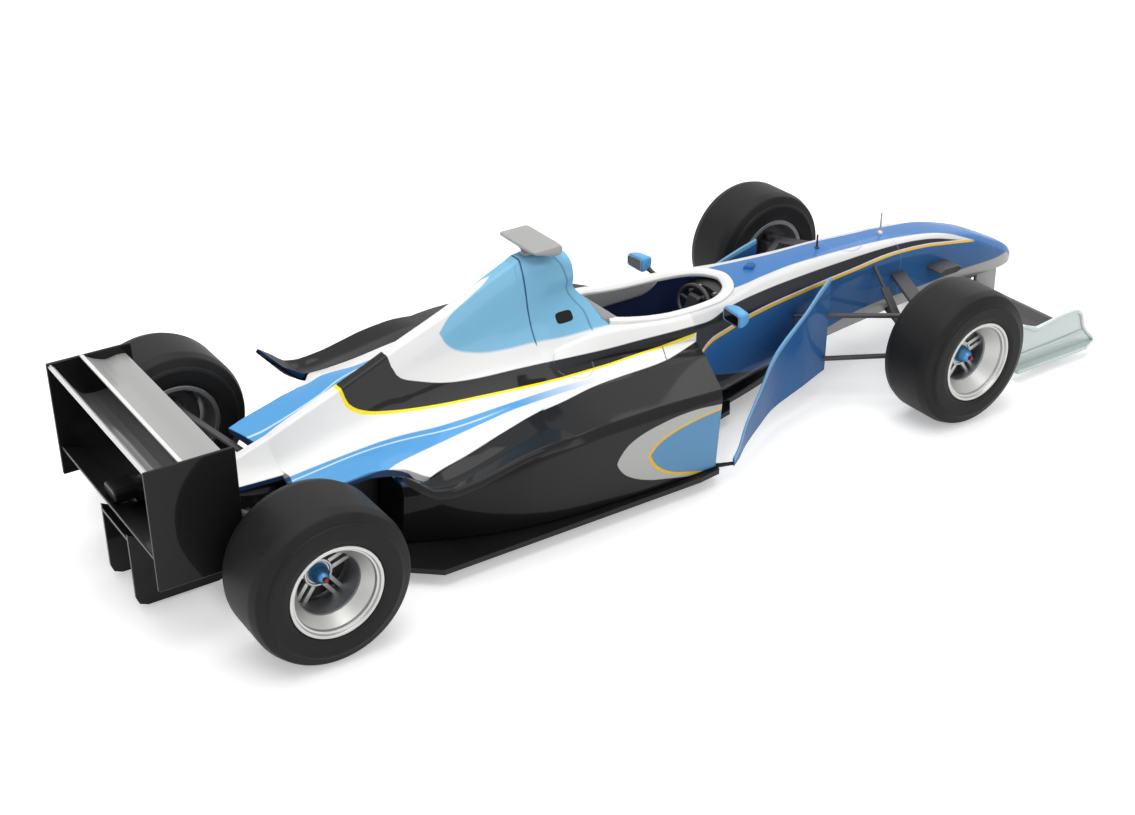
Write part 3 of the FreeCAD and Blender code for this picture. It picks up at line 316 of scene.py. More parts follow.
def rounded(corners, closed=False, arc=6, flat=1):
    """Points along a path with its corners rounded; a corner is its coordinates, then its radius."""
    corners = np.array(corners, float)
    at, radii = corners[:, :-1], corners[:, -1]
    count = len(at)
    nearly_straight = 1.5707
    most_of_a_side = 0.49
    shares = np.linspace(0.0, 1.0, arc + 1)[:, None]
    path = []
    for i in range(count):
        if not closed and i in (0, count - 1):
            path.append(at[i:i + 1])
            continue
        before, after = at[i - 1] - at[i], at[(i + 1) % count] - at[i]
        lengths = np.linalg.norm(before), np.linalg.norm(after)
        cosine = np.clip(before @ after / (lengths[0] * lengths[1] + 1e-12), -1.0, 1.0)
        half = max(math.acos(cosine) / 2, 1e-3)
        reach = min(radii[i] / math.tan(half) if half < nearly_straight else 0.0,
                    most_of_a_side * min(lengths))
        first = at[i] + before / lengths[0] * reach
        last = at[i] + after / lengths[1] * reach
        path.append((1 - shares) ** 2 * first + 2 * shares * (1 - shares) * at[i] + shares ** 2 * last)
    points = []
    for i, here in enumerate(path):
        points.append(here)
        if i < count - 1 or closed:
            there = path[(i + 1) % count][0]
            steps = np.linspace(0.0, 1.0, flat + 1)[1:-1, None]
            points.append(here[-1] + steps * (there - here[-1]))
    return np.concatenate(points)


def turned(name, profile, wheel, finishes, node="", paint=None, segments=128, closed=True):
    """Piece turned about a wheel's axle; the profile is depth from the rim face, then radius."""
    end, side, sign, station = wheel
    face = rim_face(end)
    count = len(profile)
    points = []
    for k in range(segments):
        angle = 2 * math.pi * k / segments
        for depth, radius in profile:
            points.append((sign * (face - depth), FRONT_AXLE + station + radius * math.cos(angle),
                           WHEEL_HEIGHT + radius * math.sin(angle)))
    faces, kinds = [], []
    for k in range(segments):
        for i in range(count if closed else count - 1):
            j = (i + 1) % count
            m = (k + 1) % segments
            faces.append((k * count + i, k * count + j, m * count + j, m * count + i))
            kinds.append(paint(profile[i]) if paint else 0)
    replaced = [f"{end}_{node}_{side}"] if node else ()
    name, body = f"{name}_{end}_{side}", f"{end}_wheel_{side}"
    return piece(name, points, faces, finishes, body, replaced, kinds)


def rubber():
    """Satin black rubber with a faint turned grain."""
    finish = Finish("tyre_rubber", Specular_IOR_Level=0.15)
    finish.clouded((0.009, 0.009, 0.0095), (0.015, 0.015, 0.0155), 220.0, 2.0, 0.44, 0.12)
    finish.feed("Normal", finish.relief(finish.noise(9000.0), 0.10, 0.00005))
    return finish


TYRE_RUBBER = rubber()
for wheel in WHEELS:
    end = wheel[0]
    width, radius = measure(f"{end}_tyre_right", "x")[0], measure(f"{end}_tyre_right", "z")[0] / 2
    bead = measure(f"{end}_rim_right", "z")[0] / 2
    middle = width / 2 - 0.4
    outer = [
        (0.5, bead, 0.0), (-0.15, bead + 0.15, 0.3), (-0.4, bead + 1.3, 1.2), (-0.4, radius - 3.3, 0.7),
        (-0.1, radius - 2.7, 0.12), (0.2, radius - 2.6, 0.12), (0.9, radius - 0.7, 1.0), (3.0, radius, 3.2),
    ]
    inner = [(2 * middle - depth, height, r) for depth, height, r in reversed(outer)]
    profile = rounded(outer + [(middle, radius, 0.0)] + inner)
    turned("tyre", profile, wheel, [TYRE_RUBBER], "tyre", segments=144)

# ------------------------------------------------------------------------ rims
# Cast deep-dish rims in satin silver: a stepped lip, a bright cone, a dark
# barrel, and five pairs of slim spokes on a hub set deep in the wheel. The
# front hub, its spokes and its nut stand a little further out than the rear.


def cast_silver(name, colour, roughness, **sockets):
    """Silver lacquer over a casting, with fine turning marks."""
    finish = Finish(name, **{"Metallic": 0.85, "Coat_Roughness": 0.2, **sockets})
    finish.clouded(tuple(c * 0.93 for c in colour), colour, 2500.0, 2.0, roughness, 0.08)
    return finish


RIM_SILVER = cast_silver("rim_silver", (0.56, 0.56, 0.545), 0.36)
BARREL_GREY = cast_silver("barrel_grey", (0.30, 0.30, 0.31), 0.42)
SPOKE_PAIRS = 5
HUB_RADIUS = 3.1
SPOKE_WIDTH = 1.0
SPOKE_GAP = 1.8
CONE_BOTTOM = {"front": (4.0, 6.5), "rear": (3.5, 6.9)}
HUB_SHIFT = {"front": 2.6, "rear": 0.0}


def spoke_tree():
    """Pairs of spokes round a hub, about the X axis."""
    tree = bpy.data.node_groups.new("spoke_pairs", "GeometryNodeTree")
    sizes = ("Reach", "Hub", "Width", "Gap", "Depth")
    kinds = {"Pairs": "NodeSocketInt", **dict.fromkeys(sizes, "NodeSocketFloat"),
             "Finish": "NodeSocketMaterial"}
    for label, kind in kinds.items():
        tree.interface.new_socket(label, in_out="INPUT", socket_type=kind)
    tree.interface.new_socket("Geometry", in_out="OUTPUT", socket_type="NodeSocketGeometry")

    def give(value, socket):
        if hasattr(value, "is_output"):
            tree.links.new(value, socket)
        else:
            socket.default_value = value

    def node(kind, **inputs):
        made = tree.nodes.new(kind)
        for label, value in inputs.items():
            give(value, made.inputs[label.replace("_", " ")])
        return made.outputs

    def maths(operation, first, second):
        made = tree.nodes.new("ShaderNodeMath")
        made.operation = operation
        give(first, made.inputs[0])
        give(second, made.inputs[1])
        return made.outputs[0]

    given = node("NodeGroupInput")
    length = maths("SUBTRACT", given["Reach"], given["Hub"])
    size = node("ShaderNodeCombineXYZ", X=given["Depth"], Y=given["Width"], Z=length)["Vector"]
    bar = node("GeometryNodeMeshCube", Size=size, Vertices_X=3, Vertices_Y=3, Vertices_Z=4)["Mesh"]
    middle = maths("ADD", given["Hub"], maths("MULTIPLY", length, 0.5))
    half_gap = maths("MULTIPLY", given["Gap"], 0.5)
    away = node("ShaderNodeCombineXYZ", Y=half_gap, Z=middle)["Vector"]
    back = node("ShaderNodeCombineXYZ", Y=maths("MULTIPLY", half_gap, -1.0), Z=middle)["Vector"]
    one = node("GeometryNodeTransform", Geometry=bar, Translation=away)["Geometry"]
    other = node("GeometryNodeTransform", Geometry=bar, Translation=back)["Geometry"]
    join = tree.nodes.new("GeometryNodeJoinGeometry")
    for shape in (one, other):
        tree.links.new(shape, join.inputs[0])
    ring = node("GeometryNodeMeshLine", Count=given["Pairs"], Offset=(0.0, 0.0, 0.0))["Mesh"]
    turn = maths("DIVIDE", 2 * math.pi, given["Pairs"])
    index = node("GeometryNodeInputIndex")["Index"]
    turns = node("ShaderNodeCombineXYZ", X=maths("MULTIPLY", index, turn))["Vector"]
    euler = node("FunctionNodeEulerToRotation", Euler=turns)["Rotation"]
    spread = node("GeometryNodeInstanceOnPoints", Points=ring, Instance=join.outputs[0],
                  Rotation=euler)["Instances"]
    real = node("GeometryNodeRealizeInstances", Geometry=spread)["Geometry"]
    painted = node("GeometryNodeSetMaterial", Geometry=real, Material=given["Finish"])["Geometry"]
    tree.links.new(painted, tree.nodes.new("NodeGroupOutput").inputs[0])
    return tree


def grown(name, tree, values):
    """Plain mesh from a geometry tree and its named inputs."""
    holder = bpy.data.objects.new(name, bpy.data.meshes.new(name))
    bpy.context.scene.collection.objects.link(holder)
    modifier = holder.modifiers.new("tree", "NODES")
    modifier.node_group = tree
    for item in tree.interface.items_tree:
        if item.in_out == "INPUT" and item.name in values:
            modifier[item.identifier] = values[item.name]
    graph = bpy.context.evaluated_depsgraph_get()
    graph.update()
    mesh = bpy.data.meshes.new_from_object(holder.evaluated_get(graph))
    bpy.data.objects.remove(holder)
    return mesh


SPOKE_TREE = spoke_tree()
for wheel in WHEELS:
    end, side, sign, station = wheel
    bead, width = measure(f"{end}_rim_right", "z")[0] / 2, measure(f"{end}_rim_right", "x")[0]
    cone_depth, cone_radius = CONE_BOTTOM[end]
    shift = HUB_SHIFT[end]
    barrel = [
        (width, bead, 0.2), (0.3, bead, 0.1), (-0.25, bead - 0.1, 0.25), (-0.25, bead - 0.75, 0.2),
        (0.35, bead - 0.95, 0.1), (0.45, bead - 1.35, 0.12), (1.15, bead - 1.5, 0.15),
        (cone_depth, cone_radius, 0.35), (cone_depth + 0.5, cone_radius - 0.15, 0.2),
        (9.4 - shift, cone_radius - 0.1, 0.3), (9.9 - shift, cone_radius + 0.9, 0.5),
        (width, bead - 1.1, 0.1),
    ]

    def rim_paint(at, edge=cone_depth + 0.4):
        return 1 if at[0] > edge else 0

    turned("rim", rounded(barrel, closed=True, arc=5), wheel, [RIM_SILVER, BARREL_GREY], "rim",
           paint=rim_paint)
    hub = [
        (8.5, 1.6, 0.0), (8.5, 2.5, 0.1), (8.1, 2.6, 0.15), (8.1, HUB_RADIUS, 0.25),
        (9.7, HUB_RADIUS + 0.1, 0.0), (9.7, 1.6, 0.0),
    ]
    hub = [(depth - shift, radius, curve) for depth, radius, curve in hub]
    turned("rim_hub", rounded(hub, closed=True, arc=4), wheel, [RIM_SILVER], segments=64)
    spokes = grown(f"spokes_{end}_{side}", SPOKE_TREE, {
        "Pairs": SPOKE_PAIRS, "Reach": (cone_radius + 0.3) * MM, "Hub": (HUB_RADIUS - 0.4) * MM,
        "Width": SPOKE_WIDTH * MM, "Gap": SPOKE_GAP * MM, "Depth": 1.1 * MM, "Finish": RIM_SILVER.material,
    })
    place = Vector((sign * (rim_face(end) - 9.0 + shift), FRONT_AXLE + station, WHEEL_HEIGHT)) * MM
    spokes.transform(Matrix.Translation(place))
    holder = bpy.data.objects.new(f"spokes_{end}_{side}", spokes)
    bpy.context.scene.collection.objects.link(holder)
    soften = holder.modifiers.new("soften", "BEVEL")
    soften.width, soften.segments = 0.18 * MM, 2
    settle(holder, f"{end}_wheel_{side}")


# ------------------------------------------------------------------ wheel nuts
# One cone-shaped nut holds each wheel: blue anodised aluminium, with a short
# red locking tip pressed into its end.

ANODISED_BLUE = cast_silver("anodised_blue", (0.09, 0.29, 0.56), 0.34)
LOCK_RED = cast_silver("lock_red", (0.30, 0.012, 0.012), 0.35, Metallic=0.3)
NUT_PROFILE = [
    (9.0, 0.3, 0.0), (9.0, 2.1, 0.1), (8.3, 2.15, 0.3), (7.2, 1.9, 2.0), (5.8, 1.2, 2.0), (5.3, 0.3, 0.0),
]
TIP_PROFILE = [(6.4, 0.0, 0.0), (6.4, 0.62, 0.1), (4.7, 0.60, 0.2), (4.5, 0.3, 0.1), (4.5, 0.0, 0.0)]
for wheel in WHEELS:
    nut, tip = ([(depth - HUB_SHIFT[wheel[0]], radius, curve) for depth, radius, curve in profile]
                for profile in (NUT_PROFILE, TIP_PROFILE))
    turned("wheel_nut", rounded(nut, closed=True, arc=6), wheel, [ANODISED_BLUE], "wheel_nut",
           segments=48)
    turned("nut_lock", rounded(tip, arc=3), wheel, [LOCK_RED], segments=6, closed=False)

# ------------------------------------------------------------------ nose and tub
# Lacquered plastic shells in metallic blues: a drooping nose with a silver tip
# and keel, screwed to the tub, which carries the cockpit opening. A thin black
# undertray is fixed below the tub's front.


def smooth(knots, values, at):
    """Smooth curves through rows of values, without overshoot between them."""
    knots, values = np.array(knots, float), np.array(values, float)
    gaps = np.diff(knots)[:, None]
    slopes = np.diff(values, axis=0) / gaps
    tangents = np.zeros_like(values)
    tangents[0], tangents[-1] = slopes[0], slopes[-1]
    if len(knots) > 2:
        before, after = slopes[:-1], slopes[1:]
        same = before * after > 1e-12
        first, second = 2 * gaps[1:] + gaps[:-1], gaps[1:] + 2 * gaps[:-1]
        safe_before, safe_after = np.where(same, before, 1.0), np.where(same, after, 1.0)
        tangents[1:-1] = np.where(same, (first + second) / (first / safe_before + second / safe_after), 0.0)
    at = np.array(at, float)
    cell = np.clip(np.searchsorted(knots, at) - 1, 0, len(knots) - 2)
    gap = gaps[cell]
    t = ((at - knots[cell]) / gap[:, 0])[:, None]
    return ((1 + 2 * t) * (1 - t) ** 2 * values[cell] + t * (1 - t) ** 2 * gap * tangents[cell]
            + t * t * (3 - 2 * t) * values[cell + 1] + t * t * (t - 1) * gap * tangents[cell + 1])


def skin(rows, step=1.2, closed=False, arc=6, flat=1):
    """Grid of points over rows of corners; a corner is x, station, z and its rounding radius."""
    rows = np.array(rows, float)
    apart = np.linalg.norm(np.diff(rows[:, :, :3], axis=0), axis=2).mean(axis=1)
    knots = np.concatenate([[0.0], np.cumsum(apart)])
    count = max(int(round(knots[-1] / step)), len(rows)) + 1
    at = np.unique(np.concatenate([np.linspace(0.0, knots[-1], count), knots]))
    dense = smooth(knots, rows.reshape(len(rows), -1), at).reshape(len(at), *rows.shape[1:])
    return np.array([rounded(row, closed, arc, flat) for row in dense])


def level(station, corners):
    """Row of corners at one station; each is x, z and its rounding radius."""
    return [(x, station, z, radius) for x, z, radius in corners]
def half_row(station, top, corners, bottom):
    """Row of corners at one station, from the centre plane round one side and back to it."""
    return level(station, [(0, top, 0), *corners, (0, bottom, 0)])


def both_halves(grid):
    """Close half rings, which start and end on the centre plane, with their mirror image."""
    return np.concatenate([grid, grid[:, -2:0:-1] * (-1, 1, 1)], axis=1)


def solid_of(rings):
    """Points and faces of a closed skin over rings of points."""
    count, size = rings.shape[:2]
    points = [tuple(p) for p in rings.reshape(-1, 3) + (0, FRONT_AXLE, 0)]
    faces = []
    for i in range(count - 1):
        for j in range(size):
            k = (j + 1) % size
            faces.append((i * size + j, i * size + k, (i + 1) * size + k, (i + 1) * size + j))
    faces += [tuple(range(i * size, (i + 1) * size)) for i in (0, count - 1)]
    return points, faces


def hull(name, rows, finishes, slot, replaced=(), step=1.2, halves=True, side=1, sharp=40.0, arc=6, flat=1):
    """Closed body over rows of corners; halves=False takes whole rings, on the given side."""
    grid = skin(rows, step, not halves, arc, flat)
    rings = both_halves(grid) if halves else grid * (side, 1, 1)
    points, faces = solid_of(rings)
    return piece(name, points, faces, finishes, "root", replaced, sharp=sharp)


def lacquer(name, **sockets):
    """Coloured paint under clear lacquer."""
    return Finish(name, Roughness=0.45, Specular_IOR_Level=0.08, Coat_Weight=0.3, Coat_Roughness=0.05,
                  **sockets)


def edge(along, stops, first=-60.0, last=180.0, low=-40.0, high=60.0):
    """Place of a paint edge, given as (station, place) stops along the car."""
    scaled = [((at - first) / (last - first), (place - low) / (high - low)) for at, place in sorted(stops)]
    share = (along - first) / (last - first)
    curve = along.finish.node("ShaderNodeFloatCurve", {"stops": scaled}, None, share)
    return curve * (high - low) + low


def seam(station, girth, stops, width, blur):
    """1 on a joint line, given as (girth, station) stops down the side."""
    return (station - edge(girth, stops, low=60.0, high=160.0)).size().under(width, blur)


def between(value, low, high, blur=0.2):
    """1 where the value lies between two edges."""
    return value.over(low, blur) * value.under(high, blur)


def oval(station, girth, middle, sizes, power):
    """1 on an oval line about its middle, less inside it and more outside."""
    return (((station - middle[0]) / sizes[0]).maths("POWER", power)
            + ((girth - middle[1]) / sizes[1]).maths("POWER", power))


def surveyed(finish):
    """Distance left of the centre plane, station, height and girth, in millimetres.

    The girth falls steadily from the spine of the car, round the shoulder, to the floor's edge."""
    x = finish.node("ShaderNodeSeparateXYZ", {}, finish.spot())
    y, z = (Wire(finish, x.socket.node.outputs[i]) for i in (1, 2))
    x, station, z = x / MM, y / MM - FRONT_AXLE, z / MM
    return x, station, z, z - x.size()


TOP_BLUE = (0.032, 0.165, 0.44)
SIDE_BLUE = (0.016, 0.105, 0.300)
WHITE = (0.80, 0.80, 0.79)
BAND_WHITE = (0.66, 0.66, 0.655)
BLACK = (0.006, 0.006, 0.007)
GOLD = (0.80, 0.47, 0.003)
YELLOW = (0.92, 0.75, 0.003)
LAVENDER = (0.62, 0.62, 0.72)
TIP_SILVER = (0.42, 0.42, 0.40)
LIGHT_BLUE = (0.20, 0.48, 0.69)
STRIPE_BLUE = (0.085, 0.33, 0.66)
EDGE_BLUE = (0.018, 0.055, 0.14)
GOLD_LINE = [(-45, 19.2), (-28.6, 20.8), (-19, 22.0), (-9.5, 22.3), (8.6, 20.5), (26, 18.3), (43.5, 15.2),
             (52, 12.7), (57, 11.1), (60, 8.5), (62, 5.5)]
BLACK_TOP = [(-45, 18.4), (-33, 21.2), (-20, 24.6), (-5, 25.4), (10, 24.9), (24, 24.0), (39, 22.2),
             (50, 19.8), (60, 16.7), (78, 17.2), (90, 17.7), (107, 20.2), (123, 23.0), (131.5, 27.0),
             (136, 30.5), (137.5, 44)]
BLUE_TOP = [(-45, 17.6), (-36, 21.4), (-30, 24.4), (-23, 26.8), (-13, 28.3), (0, 29.3), (21, 29.5),
            (34, 28.2), (42, 26.8), (48, 26.6)]
SILVER_TOP = [(-58, 30), (-56.8, 20), (-55.5, 15.2), (-50.7, 12.9), (-33, 11.6), (-18, 10.4), (4, 8.9),
              (15, 6.5), (30, 2.5), (48, -8.0)]
YELLOW_LINE = [(63, 14.0), (79, 13.0), (91, 12.3), (102, 12.4), (112, 13.8), (122, 15.8), (133, 18.6),
               (141.4, 21.6), (145.2, 23.8), (147.4, 26.2), (148.5, 29.2), (148.9, 36)]
BLACK_SIDE = [(62, 12.2), (69, 9.6), (76, 7.5), (91, 6.5), (97, 5.9), (106.5, 3.9), (114.5, 2.9),
              (120, 1.3), (125.5, -0.8), (131, -2.2), (142, -5.3), (146, -9.0)]
STRIPE_TOP = [(90, 8.9), (104, 9.5), (121, 9.8), (132.5, 10.2), (141.5, 11.8), (148, 12.5), (161, 12.4),
              (167, 12.1)]
STRIPE_FOOT = [(98, 7.1), (115, 7.1), (125, 6.1), (131, 5.3), (142, 3.4), (147, 2.5), (153, -2.0)]
STRIPE_LINE = [(118, 8.2), (126, 7.8), (133, 8.2), (139.3, 9.4), (146.7, 10.8), (152.3, 11.1),
               (160.2, 10.7), (166, 10.2)]
PATCH_FOOT = [(80, 25.4), (95, 25.7), (103.1, 27.0), (114, 28.6), (118.5, 30.4), (121.6, 32.4),
              (123.7, 35.2), (124.6, 38.5)]
PATCH_TOP = [(108, 52), (112, 48.2), (116, 45.7), (121, 42.6), (124.5, 38.6)]
DECK_EDGE = [(103, 4.3), (134, -3.1), (142, -5.6), (146, 0.0), (152, 2.8), (157.5, 2.8), (163, 3.7),
             (168, 5.7)]
COLLAR_SEAM = [(24, 88.7), (32, 88.9), (36, 90.4), (42, 92.5)]
POD_SEAM = [(-8, 85.4), (-5.9, 84.0), (0.1, 79.7), (7.5, 75.0), (13.4, 72.4)]
POD_GREY_TOP = [(70, 22.6), (72, 22.9), (80.9, 23.8), (89.2, 23.1), (95.8, 21.2), (99, 18.2), (99.8, 16.2)]
POD_GREY_FOOT = [(70, 3.0), (78, 5.0), (84.3, 6.7), (90.1, 8.3), (95.9, 11.1), (99, 14.2), (99.8, 15.8)]
POD_BLUE_TOP = [(70, 21.9), (72, 21.8), (80.5, 21.0), (87.3, 19.2), (90.3, 17.2), (91.3, 15.4)]
POD_BLUE_FOOT = [(70, 3.2), (78.3, 5.7), (84.4, 7.9), (89.1, 11.3), (90.6, 13.4), (91.3, 15.0)]
NOSE_JOINT = -9.6
TUB_JOINT = 62.2
COVER_JOINT = 103.1
HATCH_STATION = 4.1
HATCH_RADIUS = 5.2


def nose_colours(finish, station, z, girth):
    """Nose and tub: blue side under a gold line, black and white bands and a blue top.

    The keel is silver at the front and turns black under the cockpit."""
    gold = edge(station, GOLD_LINE)
    colour = finish.mix(girth.over(edge(station, SILVER_TOP), 0.3), TIP_SILVER, SIDE_BLUE)
    ahead = station.over(-38.0, 4.0)
    colour = finish.mix(girth.over(gold + 0.4) * ahead, colour, LAVENDER)
    colour = finish.mix(girth.over(gold + 0.85) * ahead, colour, BLACK)
    colour = finish.mix(girth.over(edge(station, BLACK_TOP), 0.3) * ahead, colour, BAND_WHITE)
    line = between(girth, gold - 0.42, gold + 0.42) * station.over(-38.5, 1.5)
    colour = finish.mix(line, colour, GOLD)
    keel = z.under((station - 36.0) * 0.27 + 10.4, 0.2) * station.over(24.0, 0.5)
    colour = finish.mix(keel, colour, BLACK)
    top = girth.over(edge(station, BLUE_TOP), 0.35) * station.under(49.5, 0.5) * station.over(-57.0, 1.0)
    return finish.mix(top, colour, TOP_BLUE)


def deck_colours(finish, x, station, z, girth):
    """Airbox, cover and sidepods: white deck with a light stripe, over black flanks.

    A black panel with a yellow outline lies along the deck, a white oval on it
    runs round the light blue airbox, and the deck's free rear edges are dark blue."""
    stripe = between(girth, edge(station, STRIPE_FOOT), edge(station, STRIPE_TOP), 0.35)
    colour = finish.mix(stripe * station.over(104.0, 22.0), WHITE, STRIPE_BLUE)
    line = edge(station, STRIPE_LINE)
    line = between(girth, line - 0.25, line + 0.25, 0.3) * station.over(121.0, 8.0)
    colour = finish.mix(line, colour, (0.55, 0.72, 0.85))
    above = z.over(19.8, 0.2).maths("MAXIMUM", station.under(125.0, 1.0))
    colour = finish.mix(girth.over(edge(station, BLACK_SIDE), 0.3) * above, BLACK, colour)
    lip = girth.under(edge(station, DECK_EDGE) - 0.35, 0.2) * station.over(143.2, 0.4) * z.over(19.5, 0.2)
    rear_face = z.under((x.size() - 8.0) * 0.12 + 20.75, 0.1) * station.over(158.0, 0.5)
    colour = finish.mix(lip.maths("MAXIMUM", rear_face), colour, EDGE_BLUE)
    outline = girth.over(edge(station - 0.7, YELLOW_LINE) - 0.45) * station.under(149.6, 0.2)
    colour = finish.mix(outline * station.over(62.6, 0.3), colour, YELLOW)
    panel = girth.over(edge(station, YELLOW_LINE) + 0.4) * station.over(60.0, 0.4) * station.under(148.9, 0.2)
    colour = finish.mix(panel, colour, BLACK)
    collar_white = girth.over(edge(station, BLACK_TOP), 0.3) * station.under(137.5, 0.4)
    colour = finish.mix(collar_white, colour, WHITE)
    patch_top = girth.over(edge(station, PATCH_TOP), 0.4) * station.over(108.3, 0.3)
    patch = girth.over(edge(station, PATCH_FOOT), 0.9) * (1 - patch_top) * station.under(124.7, 0.4)
    colour = finish.mix(patch, colour, LIGHT_BLUE)
    # Painted shade: a near-black oval stands for the dark inside of a slot, which is not cut as a hole.
    slot = oval(station, girth, (94.4, 31.9), (2.2, 1.9), 4.0)
    colour = finish.mix(slot.under(1.0, 0.2), colour, (0.004, 0.004, 0.004))
    groove = (station - COVER_JOINT).size().under(0.2, 0.12) * girth.over(26.0, 1.0)
    collar = seam(station, girth, COLLAR_SEAM, 0.25, 0.3) * girth.over(25.0, 1.0) * 0.5
    return finish.mix(groove.maths("MAXIMUM", collar), colour, (0.02, 0.09, 0.22))


def tub_livery():
    """Paint of the nose and the tub, with the round hatch as a fine light blue line and a painted highlight
    line along the nose joint.
    """
    finish = lacquer("nose_paint", Metallic=0.12)
    x, station, z, girth = surveyed(finish)
    ahead = nose_colours(finish, station, z, girth)
    colour = finish.mix(station.over(TUB_JOINT, 0.1), ahead, deck_colours(finish, x, station, z, girth))
    behind = station - HATCH_STATION
    off_ring = ((x * x + behind * behind).maths("SQRT") - HATCH_RADIUS).size()
    ring = off_ring.under(0.18, 0.15) * z.over(32.0, 0.2)
    # Painted highlight: a thin light blue line along the nose joint stands for the light it catches.
    joint = (station - NOSE_JOINT).size().under(0.16, 0.1)
    colour = finish.mix(ring * 0.5 + joint * 0.35, colour, (0.12, 0.30, 0.58))
    flakes = finish.noise(8000.0, 1.0)
    finish.feed("Base Color", finish.mix(flakes * 0.04, colour, (0.45, 0.55, 0.70)))
    finish.feed("Normal", finish.relief(ring, 0.5, 0.0002))
    return finish


def deck_livery():
    """Paint of the airbox, the engine cover and the sidepods; the pods carry a grey and blue patch."""
    finish = lacquer("deck_paint", Metallic=0.05)
    x, station, z, girth = surveyed(finish)
    colour = deck_colours(finish, x, station, z, girth)
    side = girth.maths("MULTIPLY", -1.0).over(12.0, 0.1)
    grey = between(z, edge(station, POD_GREY_FOOT), edge(station, POD_GREY_TOP)) * station.under(99.8, 0.2)
    colour = finish.mix(grey * side, colour, (0.44, 0.445, 0.425))
    for inset, paint in ((0.0, GOLD), (0.55, (0.10, 0.27, 0.47))):
        moved = station + inset
        top, foot = edge(moved, POD_BLUE_TOP), edge(moved, POD_BLUE_FOOT)
        inside = between(z, foot + inset * 0.9, top - inset * 0.9) * moved.under(91.3, 0.2)
        colour = finish.mix(inside * side, colour, paint)
    joint = seam(station, girth, POD_SEAM, 0.12, 0.1) * girth.over(-8.0, 0.5) * girth.under(13.4, 0.5)
    colour = finish.mix(joint, colour, (0.005, 0.005, 0.005))
    ring = (oval(station, girth, (96.9, 16.6), (4.7, 6.5), 2.0).maths("SQRT") - 1.0).size().under(0.035, 0.03)
    finish.feed("Base Color", finish.mix(ring * 0.25, colour, (0.3, 0.3, 0.3)))
    return finish


def sprayed(name, colour, spread=0.04):
    """One colour of lacquer with the faint clouding of sprayed paint."""
    finish = lacquer(name)
    finish.clouded(tuple(c * (1 - spread) for c in colour), colour, CLOUD, 3.0, 0.42, 0.06)
    return finish


def well_livery():
    """Navy well that turns to mid blue just under the front of the rim."""
    finish = lacquer("navy_paint")
    station, z = surveyed(finish)[1:3]
    colour = finish.mix(finish.noise(CLOUD, 3.0), (0.018, 0.031, 0.090), (0.021, 0.036, 0.105))
    front = z.over(31.2, 0.8) * station.under(60.0, 4.0)
    finish.feed("Base Color", finish.mix(front, colour, TOP_BLUE))
    return finish


CLOUD = 260.0
ROUND = 20
NOSE_PAINT = tub_livery()
DECK_PAINT = deck_livery()
NAVY_PAINT = well_livery()
BLACK_PAINT = sprayed("black_paint", (0.008, 0.008, 0.009), 0.25)
NOSE_JOINT_ROW = half_row(
    NOSE_JOINT, 32.7, [(5.7, 32.4, 3.5), (8.5, 29.6, 3), (8.2, 17.4, 3), (4.8, 12.2, 1.5)], 12.2)
NOSE = [
    half_row(-58.6, 16.3, [(1.0, 16.2, 0.5), (1.8, 15.6, 0.4), (1.8, 14.4, 0.4), (0.9, 14.0, 0.3)], 14.0),
    half_row(-57.4, 18.2, [(1.9, 18.1, 1), (3.0, 16.9, 1), (2.9, 14.3, 1), (1.8, 13.5, 0.8)], 13.5),
    half_row(-54.5, 20.4, [(3.0, 20.2, 1.8), (4.5, 18.2, 1.6), (4.4, 14.6, 1), (2.8, 13.4, 1)], 13.4),
    half_row(-50.0, 22.8, [(3.8, 22.5, 2.5), (5.6, 20.0, 2), (5.6, 15.0, 1.5), (3.6, 13.4, 1)], 13.4),
    half_row(-40.0, 27.2, [(4.8, 26.9, 3.2), (7.0, 24.3, 2.5), (7.0, 16.2, 2), (4.0, 13.2, 1)], 13.2),
    half_row(-25.0, 31.0, [(5.4, 30.7, 3.5), (7.8, 28.0, 3), (7.8, 17.4, 2), (4.4, 12.8, 1)], 12.8),
    NOSE_JOINT_ROW,
]
TUB = [
    NOSE_JOINT_ROW,
    half_row(15.0, 33.8, [(5.8, 33.3, 4), (9.4, 29.6, 3), (8.8, 15.5, 4), (5.4, 10.0, 1.5)], 10.0),
    half_row(36.0, 33.8, [(7.4, 33.2, 3), (11.8, 29.6, 2.5), (11.2, 12.5, 4), (7.0, 7.5, 2)], 7.5),
    half_row(52.0, 33.3, [(11.6, 32.8, 2), (14.0, 29.8, 2), (13.4, 10.5, 4), (8.5, 5.6, 2)], 5.6),
    half_row(66.0, 33.5, [(12.8, 33.1, 2), (15.0, 30.0, 2), (14.6, 9.5, 3), (9.5, 4.5, 2)], 4.5),
    half_row(88.0, 35.4, [(12.4, 35.2, 2), (15.0, 31.0, 2), (15.0, 9.5, 3), (9.5, 4.5, 2)], 4.5),
    half_row(103.4, 33.4, [(10.0, 33.2, 4), (15.6, 30.2, 1.5), (15.0, 9.5, 3), (9.5, 4.5, 2)], 4.5),
]
OPENING = [
    # x, station, z along the rim of the cockpit, from the front to the right
    (0, 42.2, 33.8), (4.6, 43.6, 33.6), (8.4, 47.2, 33.3), (10.6, 52.8, 33.0), (11.3, 60.0, 33.0),
    (11.4, 66.0, 33.2), (11.2, 72.0, 33.8), (10.8, 78.0, 34.8), (9.4, 83.4, 35.6),
]


